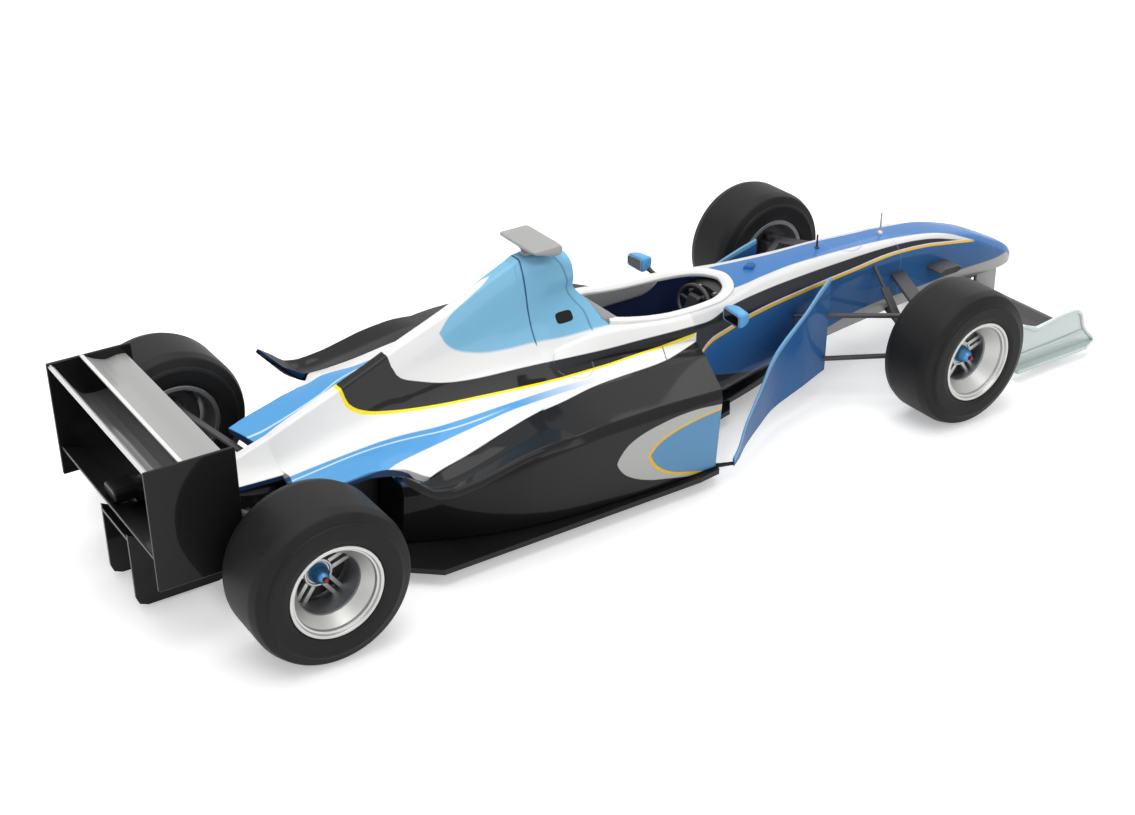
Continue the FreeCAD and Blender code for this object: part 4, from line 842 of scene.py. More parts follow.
def cut(target, cutter):
    """Take the cutter's shape out of a piece; the new walls keep the cutter's material number."""
    modifier = target.modifiers.new("cut", "BOOLEAN")
    modifier.operation, modifier.solver, modifier.object = "DIFFERENCE", "EXACT", cutter
    graph = bpy.context.evaluated_depsgraph_get()
    graph.update()
    mesh = bpy.data.meshes.new_from_object(target.evaluated_get(graph))
    target.modifiers.clear()
    target.data = mesh
    bpy.data.objects.remove(cutter)
    mesh.shade_smooth()
    mesh.set_sharp_from_angle(angle=math.radians(35))


def cutting_block(rings, finishes):
    """Loose object over rings of points, all of the second finish."""
    points, faces = solid_of(rings)
    return shell("cutting_block", points, faces, finishes, [1] * len(faces), weld=None)


hull("nose", NOSE, [NOSE_PAINT], "blue_paint", ["nose_cone"])
tub = hull("tub", TUB, [NOSE_PAINT, NAVY_PAINT], "blue_paint", ["cockpit_tub"])
around = [(x, station) for x, station, z in OPENING] + [(-x, station) for x, station, z in OPENING[:0:-1]]
well = np.array([[(x, station, z) for x, station in around] for z in (9.0, 46.0)])
cut(tub, cutting_block(well, [NOSE_PAINT, NAVY_PAINT]))

UNDERTRAY = [
    half_row(24.0, 9.0, [(3.6, 9.0, 1), (4.2, 7.0, 0.8), (3.6, 4.2, 0.4)], 4.2),
    half_row(38.0, 8.0, [(7.2, 8.0, 1), (8.4, 6.0, 0.8), (7.8, 3.6, 0.4)], 3.6),
    half_row(53.0, 6.6, [(9.4, 6.8, 1), (11.8, 5.4, 0.8), (11.2, 3.4, 0.4)], 3.4),
    half_row(70.0, 5.0, [(11.0, 5.6, 1), (14.2, 4.8, 0.8), (13.8, 3.3, 0.4)], 3.3),
]
hull("undertray", UNDERTRAY, [BLACK_PAINT], "black_gloss")

# ---------------------------------------------------------- airbox and collar
# The roll hoop fairing: a forward-facing air intake on a collar that spreads
# over the back of the cockpit. Moulded in one: light metallic blue over white.

AIRBOX = [
    [(0, 91.2, 52.6, 0), (2.4, 91.2, 52.6, 2.0), (4.7, 90.9, 50.9, 3), (4.8, 90.3, 46.8, 4),
     (3.1, 89.8, 43.8, 4), (5.0, 86.6, 40.2, 4), (8.0, 85.0, 36.8, 4), (9.8, 83.4, 34.8, 1),
     (9.6, 83.4, 32.0, 0.5), (0, 83.4, 32.0, 0)],
    [(0, 93.0, 53.1, 0), (2.6, 93.0, 53.1, 2.2), (5.1, 92.8, 51.2, 4), (5.2, 92.4, 46.8, 4),
     (3.6, 92.0, 43.4, 4), (5.8, 90.2, 40.2, 6), (9.0, 89.4, 36.2, 5), (11.2, 88.6, 34.3, 1),
     (11.0, 88.6, 31.0, 0.5), (0, 88.6, 31.0, 0)],
    [(0, 97.5, 53.5, 0), (2.4, 97.5, 53.5, 2), (4.8, 97.5, 51.2, 9), (5.1, 97.5, 47.0, 9),
     (4.8, 97.5, 42.8, 9), (6.4, 97.0, 39.4, 9), (9.2, 97.0, 35.2, 9), (12.4, 97.0, 32.6, 1),
     (12.0, 97.0, 30.0, 0.5), (0, 97.0, 30.0, 0)],
    half_row(103.0, 53.2, [(1.9, 53.2, 1.5), (3.6, 49.8, ROUND), (4.6, 45.6, ROUND), (5.4, 41.6, ROUND),
             (6.6, 37.9, ROUND), (9.2, 34.0, ROUND), (13.8, 31.0, 1), (13.0, 28.5, 0.5)], 28.5),
    half_row(104.6, 52.5, [(1.8, 52.5, 1.5), (3.4, 49.0, ROUND), (4.4, 44.8, ROUND), (5.2, 40.8, ROUND),
             (6.4, 37.1, ROUND), (9.0, 33.2, ROUND), (13.6, 30.2, 1), (12.8, 28.0, 0.5)], 28.0),
]
airbox = hull("airbox_fairing", AIRBOX, [DECK_PAINT, BLACK_PAINT], "light_blue_paint", ["airbox"])
INTAKE = [(0, 51.4, 0), (2.0, 51.4, 1.4), (3.5, 49.9, 1.4), (3.5, 47.2, 1.4), (2.4, 45.5, 1.4), (0, 45.5, 0)]
cut(airbox, cutting_block(both_halves(skin([level(88.0, INTAKE), level(99.0, INTAKE)])),
                          [DECK_PAINT, BLACK_PAINT]))

# --------------------------------------------------------------- engine cover
# One thin moulding from the airbox to the tail: a sharp spine, a hollow foot
# and a wide deck that ends in a free edge over the rear suspension.


def cover_row(station, spine, curve, lip, bottom):
    """Half row of the cover: its spine, fully rounded corners, and the two of its thin free edge."""
    corners = [(x, z, ROUND) for x, z in curve] + [(x, z, 0.3) for x, z in lip]
    return half_row(station, spine[1], [spine, *corners], bottom)


COVER = [
    cover_row(103.0, (1.9, 53.1, 1.5), [(3.7, 48.6), (5.2, 42.4), (7.2, 36.8), (11.0, 32.6), (16.4, 30.2)],
              [(23.2, 28.8), (22.8, 26.4)], 26.0),
    cover_row(110.0, (1.7, 50.1, 1.4), [(3.4, 46.0), (4.8, 40.4), (6.8, 35.4), (10.6, 31.7), (16.2, 29.7)],
              [(24.1, 28.2), (23.6, 25.6)], 25.0),
    cover_row(120.0, (1.6, 45.4, 1.4), [(3.2, 41.6), (4.6, 37.2), (6.8, 33.0), (10.6, 30.0), (16.4, 28.6)],
              [(25.4, 26.8), (25.0, 24.2)], 23.7),
    cover_row(134.0, (1.4, 39.9, 1.2), [(3.0, 36.6), (4.6, 32.8), (7.2, 29.2), (11.4, 27.2), (18.0, 26.6)],
              [(27.1, 24.1), (26.4, 21.9)], 21.7),
    cover_row(142.0, (1.4, 36.5, 1.2), [(3.0, 33.2), (5.0, 29.6), (8.2, 26.9), (13.0, 26.0), (21.5, 25.6)],
              [(28.5, 23.0), (28.0, 21.0)], 20.1),
    cover_row(146.0, (1.4, 34.9, 1.2), [(3.0, 31.8), (5.0, 28.4), (8.0, 25.8), (12.6, 25.0), (19.0, 25.1)],
              [(23.7, 23.7), (23.2, 21.7)], 21.0),
    cover_row(152.0, (1.3, 32.5, 1), [(3.0, 29.6), (4.8, 26.6), (7.6, 24.4), (11.6, 23.8), (17.0, 24.1)],
              [(21.0, 23.8), (20.5, 21.8)], 21.1),
    cover_row(157.5, (1.2, 30.4, 1), [(2.8, 27.7), (4.6, 25.0), (7.2, 23.0), (10.8, 22.6), (16.0, 23.0)],
              [(20.1, 22.9), (19.6, 21.2)], 20.4),
    cover_row(163.0, (1.1, 28.2, 1), [(2.5, 25.8), (4.1, 23.4), (6.4, 21.6), (9.6, 21.4), (14.2, 22.1)],
              [(18.6, 22.4), (18.2, 20.9)], 20.0),
    [(0, 168.4, 25.7, 0), (1.0, 168.4, 25.7, 0.8), (2.3, 168.0, 23.8, ROUND), (3.7, 167.4, 22.0, ROUND),
     (5.8, 165.8, 21.0, ROUND), (8.4, 165.2, 21.0, ROUND), (12.0, 166.3, 21.4, ROUND),
     (16.4, 168.2, 22.1, 0.3), (16.2, 168.0, 20.7, 0.3), (0, 165.0, 19.8, 0)],
]
COVER_TAIL = [
    cover_row(160.0, (1.0, 28.6, 0.8), [(2.4, 25.6), (4.0, 22.8), (5.8, 21.0)], [(7.0, 20.6), (6.8, 19.2)],
              19.2),
    cover_row(168.0, (1.0, 26.2, 0.8), [(2.3, 24.2), (3.7, 22.4), (5.3, 21.2)], [(6.7, 20.7), (6.5, 19.3)],
              19.3),
    cover_row(179.0, (0.9, 22.6, 0.8), [(2.0, 22.0), (3.2, 21.3), (4.6, 20.8)], [(5.8, 20.4), (5.6, 19.0)],
              19.0),
]
hull("cover", COVER, [DECK_PAINT], "white_paint", ["engine_cover"])
hull("cover_tail", COVER_TAIL, [DECK_PAINT], "white_paint")

# ------------------------------------------------------------------- sidepods
# Gloss black shells on either side of the tub, closed all round, each with a
# thin flare that curls up in front of the rear wheel.


def pair(name, rows, finishes, slot, replaced=None, **options):
    """The same closed body on both sides of the car; {side} in a replaced node's name is filled in."""
    made = []
    for side, sign in SIDES:
        nodes = [replaced.format(side=side)] if replaced else ()
        made.append(hull(f"{name}_{side}", rows, finishes, slot, nodes, halves=False, side=sign, **options))
    return made


def flare_livery():
    """Black, with a blue face at the slanting rear end."""
    finish = lacquer("flare_paint")
    x, station = surveyed(finish)[:2]
    end = station.over((x.size() - 28.9) * 1.5 + 143.1, 0.1)
    finish.feed("Base Color", finish.mix(end, BLACK, (0.016, 0.06, 0.17)))
    return finish


FLARE_PAINT = flare_livery()
POD = [
    # corners: inner wall, crown, deck joint, shoulder, flank, floor edge, inner floor
    [(15.0, 62.4, 27.4, 0), (19.0, 64.0, 27.2, 1), (23.0, 65.8, 27.8, 4), (36.2, 71.2, 26.1, 1.0),
     (37.0, 71.5, 24.4, 1.0), (34.4, 70.6, 4.6, 1.2), (15.0, 62.4, 4.6, 0)],
    level(88.0, [(15.0, 30.2, 0), (19.0, 28.9, 4), (23.0, 28.2, 4), (36.2, 26.8, 1.0), (37.4, 24.8, 1.0),
           (34.8, 4.6, 1.2), (15.0, 4.6, 0)]),
    level(103.0, [(15.0, 30.6, 0), (19.0, 29.5, 4), (23.2, 28.7, 4), (36.4, 26.9, 1.0), (37.6, 25.0, 1.0),
           (34.2, 4.6, 1.2), (15.0, 4.6, 0)]),
    level(112.0, [(15.0, 27.6, 0), (19.0, 27.8, 1), (24.3, 27.8, 4), (36.4, 26.3, 1.2), (37.4, 24.4, 1.2),
           (33.6, 4.6, 1.2), (15.0, 4.6, 0)]),
    level(120.0, [(15.0, 25.4, 0), (19.0, 25.6, 1), (25.2, 25.6, 3), (35.6, 24.9, 1.6), (36.4, 23.0, 1.6),
           (32.4, 4.6, 1.2), (15.0, 4.6, 0)]),
    level(128.0, [(15.0, 23.0, 0), (19.0, 23.0, 1), (25.4, 22.9, 3), (31.8, 22.6, 3.0), (33.4, 19.6, 3.0),
           (30.4, 4.6, 1.2), (15.0, 4.6, 0)]),
    level(136.0, [(15.0, 21.4, 0), (19.0, 21.4, 1), (25.0, 21.4, 3), (29.2, 20.8, 3.0), (30.2, 17.6, 3.0),
           (27.6, 4.6, 1.2), (15.0, 4.6, 0)]),
    level(146.5, [(13.0, 20.6, 0), (15.0, 20.6, 1), (20.0, 20.6, 3), (23.4, 20.2, 3.0), (24.0, 17.0, 3.0),
           (22.4, 4.6, 1.2), (13.0, 4.6, 0)]),
]
FLARE = [
    # corners: top surface from the deck joint to the lip, then back along the underside
    level(110.0, [(23.9, 28.1, 0.2), (30.0, 27.0, 6), (36.3, 26.4, 0.8), (36.6, 24.8, 0.5), (30.0, 24.8, 3),
           (23.9, 25.6, 0.2)]),
    level(116.0, [(24.7, 27.3, 0.2), (30.5, 26.6, 6), (36.6, 26.8, 0.9), (37.2, 25.2, 0.6), (31.0, 24.4, 3),
           (24.7, 24.9, 0.2)]),
    level(124.0, [(25.8, 26.1, 0.2), (31.0, 25.2, 6), (36.6, 26.2, 0.9), (37.1, 24.4, 0.6), (31.5, 23.0, 3),
           (25.8, 23.6, 0.2)]),
    level(130.0, [(26.6, 24.9, 0.2), (31.6, 23.9, 6), (36.5, 25.0, 0.8), (37.0, 23.2, 0.6), (32.0, 21.8, 3),
           (26.6, 22.6, 0.2)]),
    level(136.0, [(27.4, 23.9, 0.2), (32.0, 22.8, 6), (36.4, 23.9, 0.8), (36.9, 22.0, 0.6), (32.2, 20.8, 3),
           (27.4, 21.5, 0.2)]),
    [(28.3, 140.4, 23.1, 0.2), (32.2, 140.8, 22.2, 5), (36.2, 141.2, 23.6, 0.8), (36.7, 141.2, 21.6, 0.6),
     (32.4, 140.8, 20.2, 3), (28.3, 140.2, 20.9, 0.2)],
    [(28.6, 142.0, 22.9, 0.2), (32.0, 143.6, 22.5, 4), (35.9, 145.2, 24.4, 0.8), (36.4, 145.2, 22.4, 0.6),
     (32.3, 143.6, 20.5, 3), (28.6, 142.0, 20.8, 0.2)],
    [(28.8, 142.8, 22.9, 0.2), (31.8, 145.6, 23.4, 3), (35.3, 148.8, 27.2, 0.6), (36.0, 149.0, 25.2, 0.5),
     (32.4, 145.9, 21.4, 3), (29.2, 143.1, 20.8, 0.2)],
    [(28.9, 143.4, 22.9, 0.2), (31.4, 147.2, 24.6, 3), (34.6, 152.0, 29.6, 0.4), (35.2, 152.3, 28.4, 0.4),
     (32.2, 147.7, 23.2, 3), (29.6, 144.0, 21.0, 0.2)],
]
pair("sidepod_shell", POD, [DECK_PAINT], "black_gloss", "sidepod_{side}")
pair("flip_up_flare", FLARE, [FLARE_PAINT], "black_gloss", "flip_up_{side}")

# ----------------------------------------------------------------- bargeboards
# Curved vanes of painted sheet between the front wheels and the sidepods,
# upright at the front and swept out and down to a foot at the floor's corner.


def board_livery():
    """Mid blue vane with a painted highlight, a pale line along its swept rear edge."""
    finish = lacquer("bargeboard_paint")
    station, z = surveyed(finish)[1:3]
    colour = finish.mix(finish.noise(CLOUD, 3.0), (0.016, 0.095, 0.28), (0.022, 0.115, 0.32))
    top = edge(station, BOARD_EDGE)
    # Painted highlight: the top 0.9 mm of the vane turns pale blue, standing for its lit edge.
    finish.feed("Base Color", finish.mix(z.over(top - 0.9, 0.3), colour, (0.16, 0.36, 0.58)))
    return finish


BOARD_EDGE = [(20, 33.0), (30, 27.7), (42, 20.2), (50, 14.9), (58, 10.3), (63, 7.2), (66, 6.2)]
BOARD_PAINT = board_livery()
BOARD = [
    # x, station, lower edge, upper edge
    (14.5, 20.4, 7.4, 33.0), (15.6, 24.0, 7.2, 31.2), (17.6, 30.0, 6.9, 27.7), (20.6, 42.0, 5.5, 20.6),
    (24.8, 50.0, 4.8, 14.6), (29.6, 58.0, 4.3, 9.7), (33.4, 63.0, 4.2, 6.9), (35.4, 66.0, 4.2, 6.2),
]
rows = [[(x - 0.4, s, low, 0.25), (x - 0.4, s, top, 0.35), (x + 0.4, s, top, 0.35), (x + 0.4, s, low, 0.25)]
        for x, s, low, top in BOARD]
pair("bargeboard_vane", rows, [BOARD_PAINT], "blue_paint", "bargeboard_{side}", flat=6)
rows = [[(x, s, z, 0.2) for x, s in ((35.2, 65.0), (35.2, 66.2), (35.2 - 1.4, 71.4), (35.2 - 2.4, 71.0))]
        for z in (4.3, 5.0)]
pair("bargeboard_foot", rows, [BLACK_PAINT], "black_gloss", step=0.4)

# ------------------------------------------------------------- cockpit fittings
# A painted rim bonded round the opening, grey padding along both sides and
# behind, a black steering wheel on its column, a dashboard and a moulded seat.


def plastic(name, dark, light, roughness, grain=1800.0, strength=0.15):
    """Moulded plastic with a fine grain."""
    finish = Finish(name)
    grains = finish.clouded(dark, light, grain, 2.0, roughness, 0.1)
    finish.feed("Normal", finish.relief(grains, strength, 0.00004))
    return finish


WHITE_PAINT = sprayed("white_paint", WHITE)
BLACK_PLASTIC = plastic("black_plastic", (0.012, 0.012, 0.013), (0.02, 0.02, 0.021), 0.45)
GREY_FOAM = plastic("grey_foam", (0.20, 0.203, 0.208), (0.27, 0.273, 0.278), 0.6, 3000.0, 0.3)


def swept(name, path, section, finishes, step=0.6):
    """Section swept along a path; its points are distance outwards and up, then a radius."""
    path = np.array(path, float)
    knots = np.concatenate([[0.0], np.cumsum(np.linalg.norm(np.diff(path, axis=0), axis=1))])
    line = smooth(knots, path, np.linspace(0.0, knots[-1], int(knots[-1] / step) + 1))
    ahead = np.gradient(line, axis=0)
    out = np.stack([-ahead[:, 1], ahead[:, 0], np.zeros(len(line))], axis=1)
    out /= np.linalg.norm(out, axis=1)[:, None]
    ring = rounded(section, closed=True, arc=4)
    rings = line[:, None] + out[:, None] * ring[None, :, :1] + np.array([0, 0, 1.0]) * ring[None, :, 1:]
    points, faces = solid_of(rings)
    return piece(name, points, faces, finishes, "root")


def mirrored(path):
    """Path from the centre plane outwards, joined to its mirror image."""
    return [(-x, *rest) for x, *rest in path[:0:-1]] + list(path)


RIM_SECTION = [
    # distance outwards and height from the rim's path, radius
    (-0.35, -0.9, 0.1), (-0.35, 0.3, 0.3), (0.3, 0.62, 0.4), (1.6, 0.55, 0.6), (2.6, -0.1, 0.5),
    (2.4, -0.9, 0.1),
]
swept("cockpit_rim", mirrored(OPENING), RIM_SECTION, [WHITE_PAINT])

PAD = [
    # x of the outer face, station, upper and lower edge
    (10.5, 56.4, 32.5, 31.3), (10.9, 57.6, 33.0, 29.9), (11.0, 60.0, 33.0, 29.2), (11.1, 66.0, 33.3, 29.0),
    (10.9, 72.0, 33.8, 29.0), (10.5, 78.0, 34.6, 29.0), (9.4, 82.0, 35.2, 29.0),
]
rows = [[(x, s + 1.2 * (z < 32), z, 0.5) for z in (low, top)]
        + [(x - 2.2, s + 1.2 * (z < 32), z, 0.9) for z in (top + 0.1, low)] for x, s, top, low in PAD]
for pad in pair("headrest_pad", rows, [GREY_FOAM], "grey_pad", "headrest", arc=5):
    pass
rows = [half_row(s, top, [(w, top, 1.2), (w, 29.0, 0.8)], 29.0)
        for s, top, w in ((79.4, 34.0, 8.6), (80.2, 35.4, 9.2), (82.0, 36.2, 9.2), (86.0, 37.0, 8.4))]
pad = hull("headrest_pad_back", rows, [GREY_FOAM], "grey_pad", ["headrest"])

SEAT = [
    half_row(59.0, 11.0, [(5.0, 11.2, 1.5), (7.4, 14.2, 1.2), (8.2, 14.0, 0.4), (8.2, 9.2, 0.6)], 9.2),
    half_row(68.0, 11.4, [(5.0, 11.8, 2), (7.6, 15.8, 1.2), (8.5, 15.6, 0.4), (8.5, 9.2, 0.6)], 9.2),
    [(0, 75.0, 13.2, 0), (5.2, 74.6, 14.2, 2), (7.7, 73.6, 18.4, 1.2), (8.6, 73.6, 18.2, 0.4),
     (8.6, 77.0, 9.2, 0.6), (0, 78.0, 9.2, 0)],
    [(0, 78.2, 22.0, 0), (5.2, 77.8, 22.4, 2), (7.6, 76.6, 25.4, 1.2), (8.4, 76.8, 25.2, 0.4),
     (8.4, 80.6, 18.0, 0.6), (0, 80.8, 18.0, 0)],
    [(0, 79.0, 28.0, 0), (5.0, 78.8, 28.0, 1), (7.4, 78.4, 27.8, 0.8), (8.2, 78.6, 27.6, 0.4),
     (8.2, 80.8, 27.0, 0.6), (0, 80.9, 27.0, 0)],
]
hull("seat_shell", SEAT, [BLACK_PLASTIC], "black_plastic", ["seat"])


def tube(name, points, radius, finishes, body, replaced=(), sides=16, step=0.8):
    """Round bar through points given as x, station, z; the radius may be one value or one for each point."""
    points = np.array(points, float)
    radii = np.array([radius] * len(points) if np.isscalar(radius) else radius, float)
    knots = np.concatenate([[0.0], np.cumsum(np.linalg.norm(np.diff(points, axis=0), axis=1))])
    at = np.unique(np.concatenate([np.linspace(0.0, knots[-1], max(int(knots[-1] / step), 2)), knots]))
    line = smooth(knots, np.column_stack([points, radii]), at)
    ahead = np.gradient(line[:, :3], axis=0)
    ahead /= np.linalg.norm(ahead, axis=1)[:, None]
    helper = np.array([0.0, 0.0, 1.0]) if abs(ahead[0, 2]) < 0.9 else np.array([1.0, 0.0, 0.0])
    across = np.cross(ahead, helper)
    across /= np.linalg.norm(across, axis=1)[:, None]
    up = np.cross(across, ahead)
    turn = np.linspace(0, 2 * math.pi, sides, endpoint=False)
    ring = (across[:, None] * np.cos(turn)[None, :, None] + up[:, None] * np.sin(turn)[None, :, None])
    points, faces = solid_of(line[:, None, :3] + ring * line[:, None, 3:])
    return piece(name, points, faces, finishes, body, replaced)


STEER_STATION = 51.6
STEER_HEIGHT = 28.6
LEAN = 0.35
RISE = 0.94
grip = []
for k in range(49):
    angle = 2 * math.pi * k / 48
    wide, tall = 5.6 * math.cos(angle), 4.0 * math.sin(angle)
    grip.append((wide, STEER_STATION - tall * LEAN, STEER_HEIGHT + tall * RISE))
tube("steering_wheel_grip", grip, 0.62, [BLACK_PLASTIC], "root", ["steering_wheel"],
     sides=12)
BOSS = [
    # distance behind the wheel's centre, half width, lower and upper edge
    (-1.0, 1.6, -1.6, 1.6), (0.2, 2.2, -1.9, 2.1), (0.9, 1.9, -1.6, 1.8),
]
rows = [[(x, STEER_STATION + lift - dz * LEAN, STEER_HEIGHT + dz * RISE, 0.5)
         for x, dz in ((-w, low), (w, low), (w, high), (-w, high))] for lift, w, low, high in BOSS]
hull("steering_wheel_boss", rows, [BLACK_PLASTIC], "black_plastic", halves=False, step=0.3)
for k, (x, dz) in enumerate(((-5.2, 28.8 - STEER_HEIGHT), (5.2, 28.8 - STEER_HEIGHT),
                             (-3.2, 25.6 - STEER_HEIGHT), (3.2, 25.6 - STEER_HEIGHT))):
    spoke = [(x * 0.3, STEER_STATION, STEER_HEIGHT + dz * 0.3),
             (x, STEER_STATION - dz * LEAN, STEER_HEIGHT + dz)]
    tube(f"steering_wheel_spoke_{k}", spoke, 0.5, [BLACK_PLASTIC], "root", sides=10)
column = [(0, 43.6, 29.2), (0, 51.2, 28.6)]
tube("steering_column", column, 0.9, [BLACK_PLASTIC], "root")
DASH = [
    half_row(43.4, 32.4, [(3.2, 32.2, 0.6), (4.2, 30.6, 0.6), (4.0, 26.0, 0.6)], 26.0),
    half_row(45.4, 32.2, [(5.2, 31.8, 0.8), (6.6, 30.4, 0.8), (6.2, 26.0, 0.6)], 26.0),
    half_row(47.2, 31.6, [(6.0, 31.0, 0.8), (7.4, 29.8, 0.8), (7.0, 27.0, 0.6)], 27.0),
]
hull("dashboard", DASH, [BLACK_PLASTIC], "black_plastic", step=0.6)
for k, (x, z) in enumerate(((-5.0, 30.2), (-3.0, 30.9), (3.0, 30.9), (5.0, 30.2), (-6.2, 28.6), (6.2, 28.6))):
    knob = [(x, 47.0, z), (x, 48.1, z + 0.1)]
    tube(f"dash_knob_{k}", knob, 0.45, [RIM_SILVER], "root", sides=12)

# --------------------------------------------------------------------- mirrors
# Wedge-shaped mid blue housings on slim black stalks, with a blue bezel round
# dark glass that faces backwards.

MIRROR_PAINT = sprayed("mirror_paint", (0.10, 0.36, 0.68))
MIRROR_GLASS = Finish("mirror_glass", Base_Color=(0.05, 0.05, 0.055), Metallic=0.9)
MIRROR_GLASS.feed("Roughness", MIRROR_GLASS.noise(700.0) * 0.06 + 0.03)
BEZEL_BLUE = cast_silver("bezel_blue", (0.20, 0.34, 0.52), 0.3)
MIRROR_X = 19.4
HOUSING = [
    # station, then half width, lower and upper edge
    (51.4, 1.2, 32.7, 33.9), (51.8, 2.0, 32.2, 34.5), (53.0, 2.8, 31.7, 35.0), (54.9, 3.2, 31.4, 35.2),
    (55.4, 3.1, 31.5, 35.1),
]
BEZEL = [
    (55.2, 2.95, 31.65, 34.95), (55.7, 2.95, 31.65, 34.95), (55.7, 2.7, 31.85, 34.75),
    (55.45, 2.65, 31.9, 34.7),
]
GLASS = [(55.2, 2.7, 31.85, 34.75), (55.55, 2.65, 31.9, 34.7)]


def mirror_rows(sections, foot, inner, outer):
    """Rows of four corners about the mirror's middle, with the radii of foot, inner and outer top."""
    return [level(s, [(MIRROR_X - w, low, foot), (MIRROR_X - w, high, inner),
                      (MIRROR_X + w, high - 0.5, outer), (MIRROR_X + w, low, foot)])
            for s, w, low, high in sections]


pair("mirror_housing", mirror_rows(HOUSING, 0.7, 0.8, 0.9), [MIRROR_PAINT], "blue_paint", "mirror_{side}",
     step=0.4)
pair("mirror_bezel", mirror_rows(BEZEL, 0.6, 0.7, 0.8), [BEZEL_BLUE], "silver_paint", step=0.3)
pair("mirror_glass", mirror_rows(GLASS, 0.6, 0.7, 0.8), [MIRROR_GLASS], "trim", step=0.3)
for side, sign in SIDES:
    stalk = [(sign * 12.6, 52.4, 30.9), (sign * 15.4, 52.8, 31.2), (sign * 17.6, 53.2, 32.2)]
    tube(f"mirror_stalk_{side}", stalk, (0.75, 0.55, 0.8), [BLACK_PLASTIC], "root")

# -------------------------------------------- roof camera, probe, aerial and fin
# A silver camera tray on a short stalk over the intake, a fine metal probe at
# the nose joint, and a black aerial and a small blue fin standing on the tub.


def flaked_silver(name, dark, light, roughness, spread, trailing=None, **sockets):
    """Silver paint with fine flakes, and a painted highlight: near white behind the trailing station."""
    finish = Finish(name, **sockets)
    flakes = finish.clouded(dark, light, 6000.0, 3.0, roughness, spread)
    if trailing is not None:
        # Painted highlight: behind this station the raised trailing edge is coloured near white, for the
        # light it catches.
        behind = surveyed(finish)[1].over(trailing, 0.1)
        finish.feed("Base Color", finish.mix(behind, finish.mix(flakes, dark, light), (0.72, 0.72, 0.71)))
    return finish


# Behind REAR_STATION + 20 this silver turns near white: a painted highlight on the upper wing element's
# raised trailing edge.
SATIN_SILVER = flaked_silver("satin_silver", (0.27, 0.27, 0.265), (0.37, 0.37, 0.365), 0.35, 0.15,
                             REAR_STATION + 20.0, Metallic=0.25, Coat_Weight=0.5, Coat_Roughness=0.2)
TRAY = [
    # station, z and radius of the tray's section; it draws in at both ends
    (94.4, 56.0, 0.9), (95.2, 56.9, 0.9), (102.9, 56.8, 0.3), (102.9, 56.1, 0.3), (97.6, 54.4, 2.0),
    (94.9, 54.4, 1.0),
]
TRAY_END = [(4.0, 0.0), (6.8, 0.04), (7.25, 0.15), (7.4, 0.35)]
rows = [[(x, s + (99 - s) * k, z + (55.6 - z) * k, r) for s, z, r in TRAY]
        for x, k in [(-x, k) for x, k in TRAY_END[::-1]] + TRAY_END]
hull("roof_camera_tray", rows, [SATIN_SILVER], "silver_paint", ["roof_camera"], halves=False, step=0.8)
rows = [[(-w, 95.2, z, 0.9), (w, 95.2, z, 0.9), (w, 101.6 - k, z, 0.9), (-w, 101.6 - k, z, 0.9)]
        for w, k, z in ((1.9, 0.0, 52.6), (1.3, 0.6, 53.8), (1.8, 0.2, 55.0))]
hull("roof_camera_stalk", rows, [SATIN_SILVER], "silver_paint", halves=False, step=0.4)
probe = [(0, NOSE_JOINT, z) for z in (32.4, 33.2, 33.5, 38.4)]
tube("nose_probe_pin", probe, (0.9, 0.7, 0.3, 0.22), [RIM_SILVER], "root", ["nose_probe"], step=0.3)
aerial = [(0, 12.3, z) for z in (33.4, 34.0, 34.2, 37.4)]
tube("tub_aerial_pin", aerial, (0.7, 0.6, 0.3, 0.25), [BLACK_PLASTIC], "root", ["tub_aerial"],
     step=0.3)

TUB_FIN_PAINT = sprayed("tub_fin_paint", (0.026, 0.14, 0.38))
rows = [[(0.0, 32.4 + k, z, 0.05), (1.5 - k * 0.8, 34.4, z, 0.1), (0.0, 36.4 - k, z, 0.05),
         (k * 0.8 - 1.5, 34.4, z, 0.1)] for k, z in ((0.0, 33.2), (0.0, 34.1), (1.2, 35.2))]
hull("tub_fin", rows, [TUB_FIN_PAINT], "blue_paint", halves=False, step=0.3)

# ----------------------------------------------------------------- nose cameras
# Flat oval camera pods, one on each side of the nose, in dark grey plastic.

GREY_PLASTIC = plastic("dark_grey_plastic", (0.028, 0.028, 0.03), (0.042, 0.042, 0.045), 0.5)
POD_SECTION = [
    # station, z and radius; the pod draws in towards its outer end
    (-28.3, 23.3, 0.9), (-26.2, 24.2, 2.4), (-21.4, 24.2, 2.4), (-19.3, 23.3, 0.9), (-21.4, 22.3, 2.4),
    (-26.2, 22.3, 2.4),
]
rows = [[(x, -23.8 + (s + 23.8) * k, 23.3 + (z - 23.3) * k, r) for s, z, r in POD_SECTION]
        for x, k in ((6.4, 1.0), (12.6, 1.0), (13.0, 0.96), (13.15, 0.88), (12.95, 0.84), (12.9, 0.5))]
pair("nose_camera", rows, [GREY_PLASTIC], "black_plastic", "nose_camera_pods", step=0.5, flat=2)

# ------------------------------------------------------------------- rear wing
# Two elements in satin and dark silver and a lower beam in black, each with a
# raised trailing edge, held between flat gloss black endplates.

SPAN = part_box("rear_wing_mainplane")[1].x / MM + 0.2
WING_BOTTOM, WING_TOP = (corner.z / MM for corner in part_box("rear_wing_endplate_right"))
# Behind REAR_STATION + 26.4 this silver turns near white: a painted highlight on the lower element's trailing
# lip.
DARK_SILVER = flaked_silver("grey_silver", (0.13, 0.13, 0.13), (0.19, 0.19, 0.19), 0.3, 0.15,
                            REAR_STATION + 26.4, Metallic=0.3, Coat_Weight=0.6, Coat_Roughness=0.15)


def element(name, corners, span, axle, lift, finish, slot, node):
    """Wing element across the car; corners are distance behind the axle, height and radius."""
    rows = [[(x, axle + s, lift + z, r) for s, z, r in corners] for x in (-span, 0.0, span)]
    hull(name, rows, [finish], slot, [node], halves=False, step=span / 8, arc=4, flat=4)


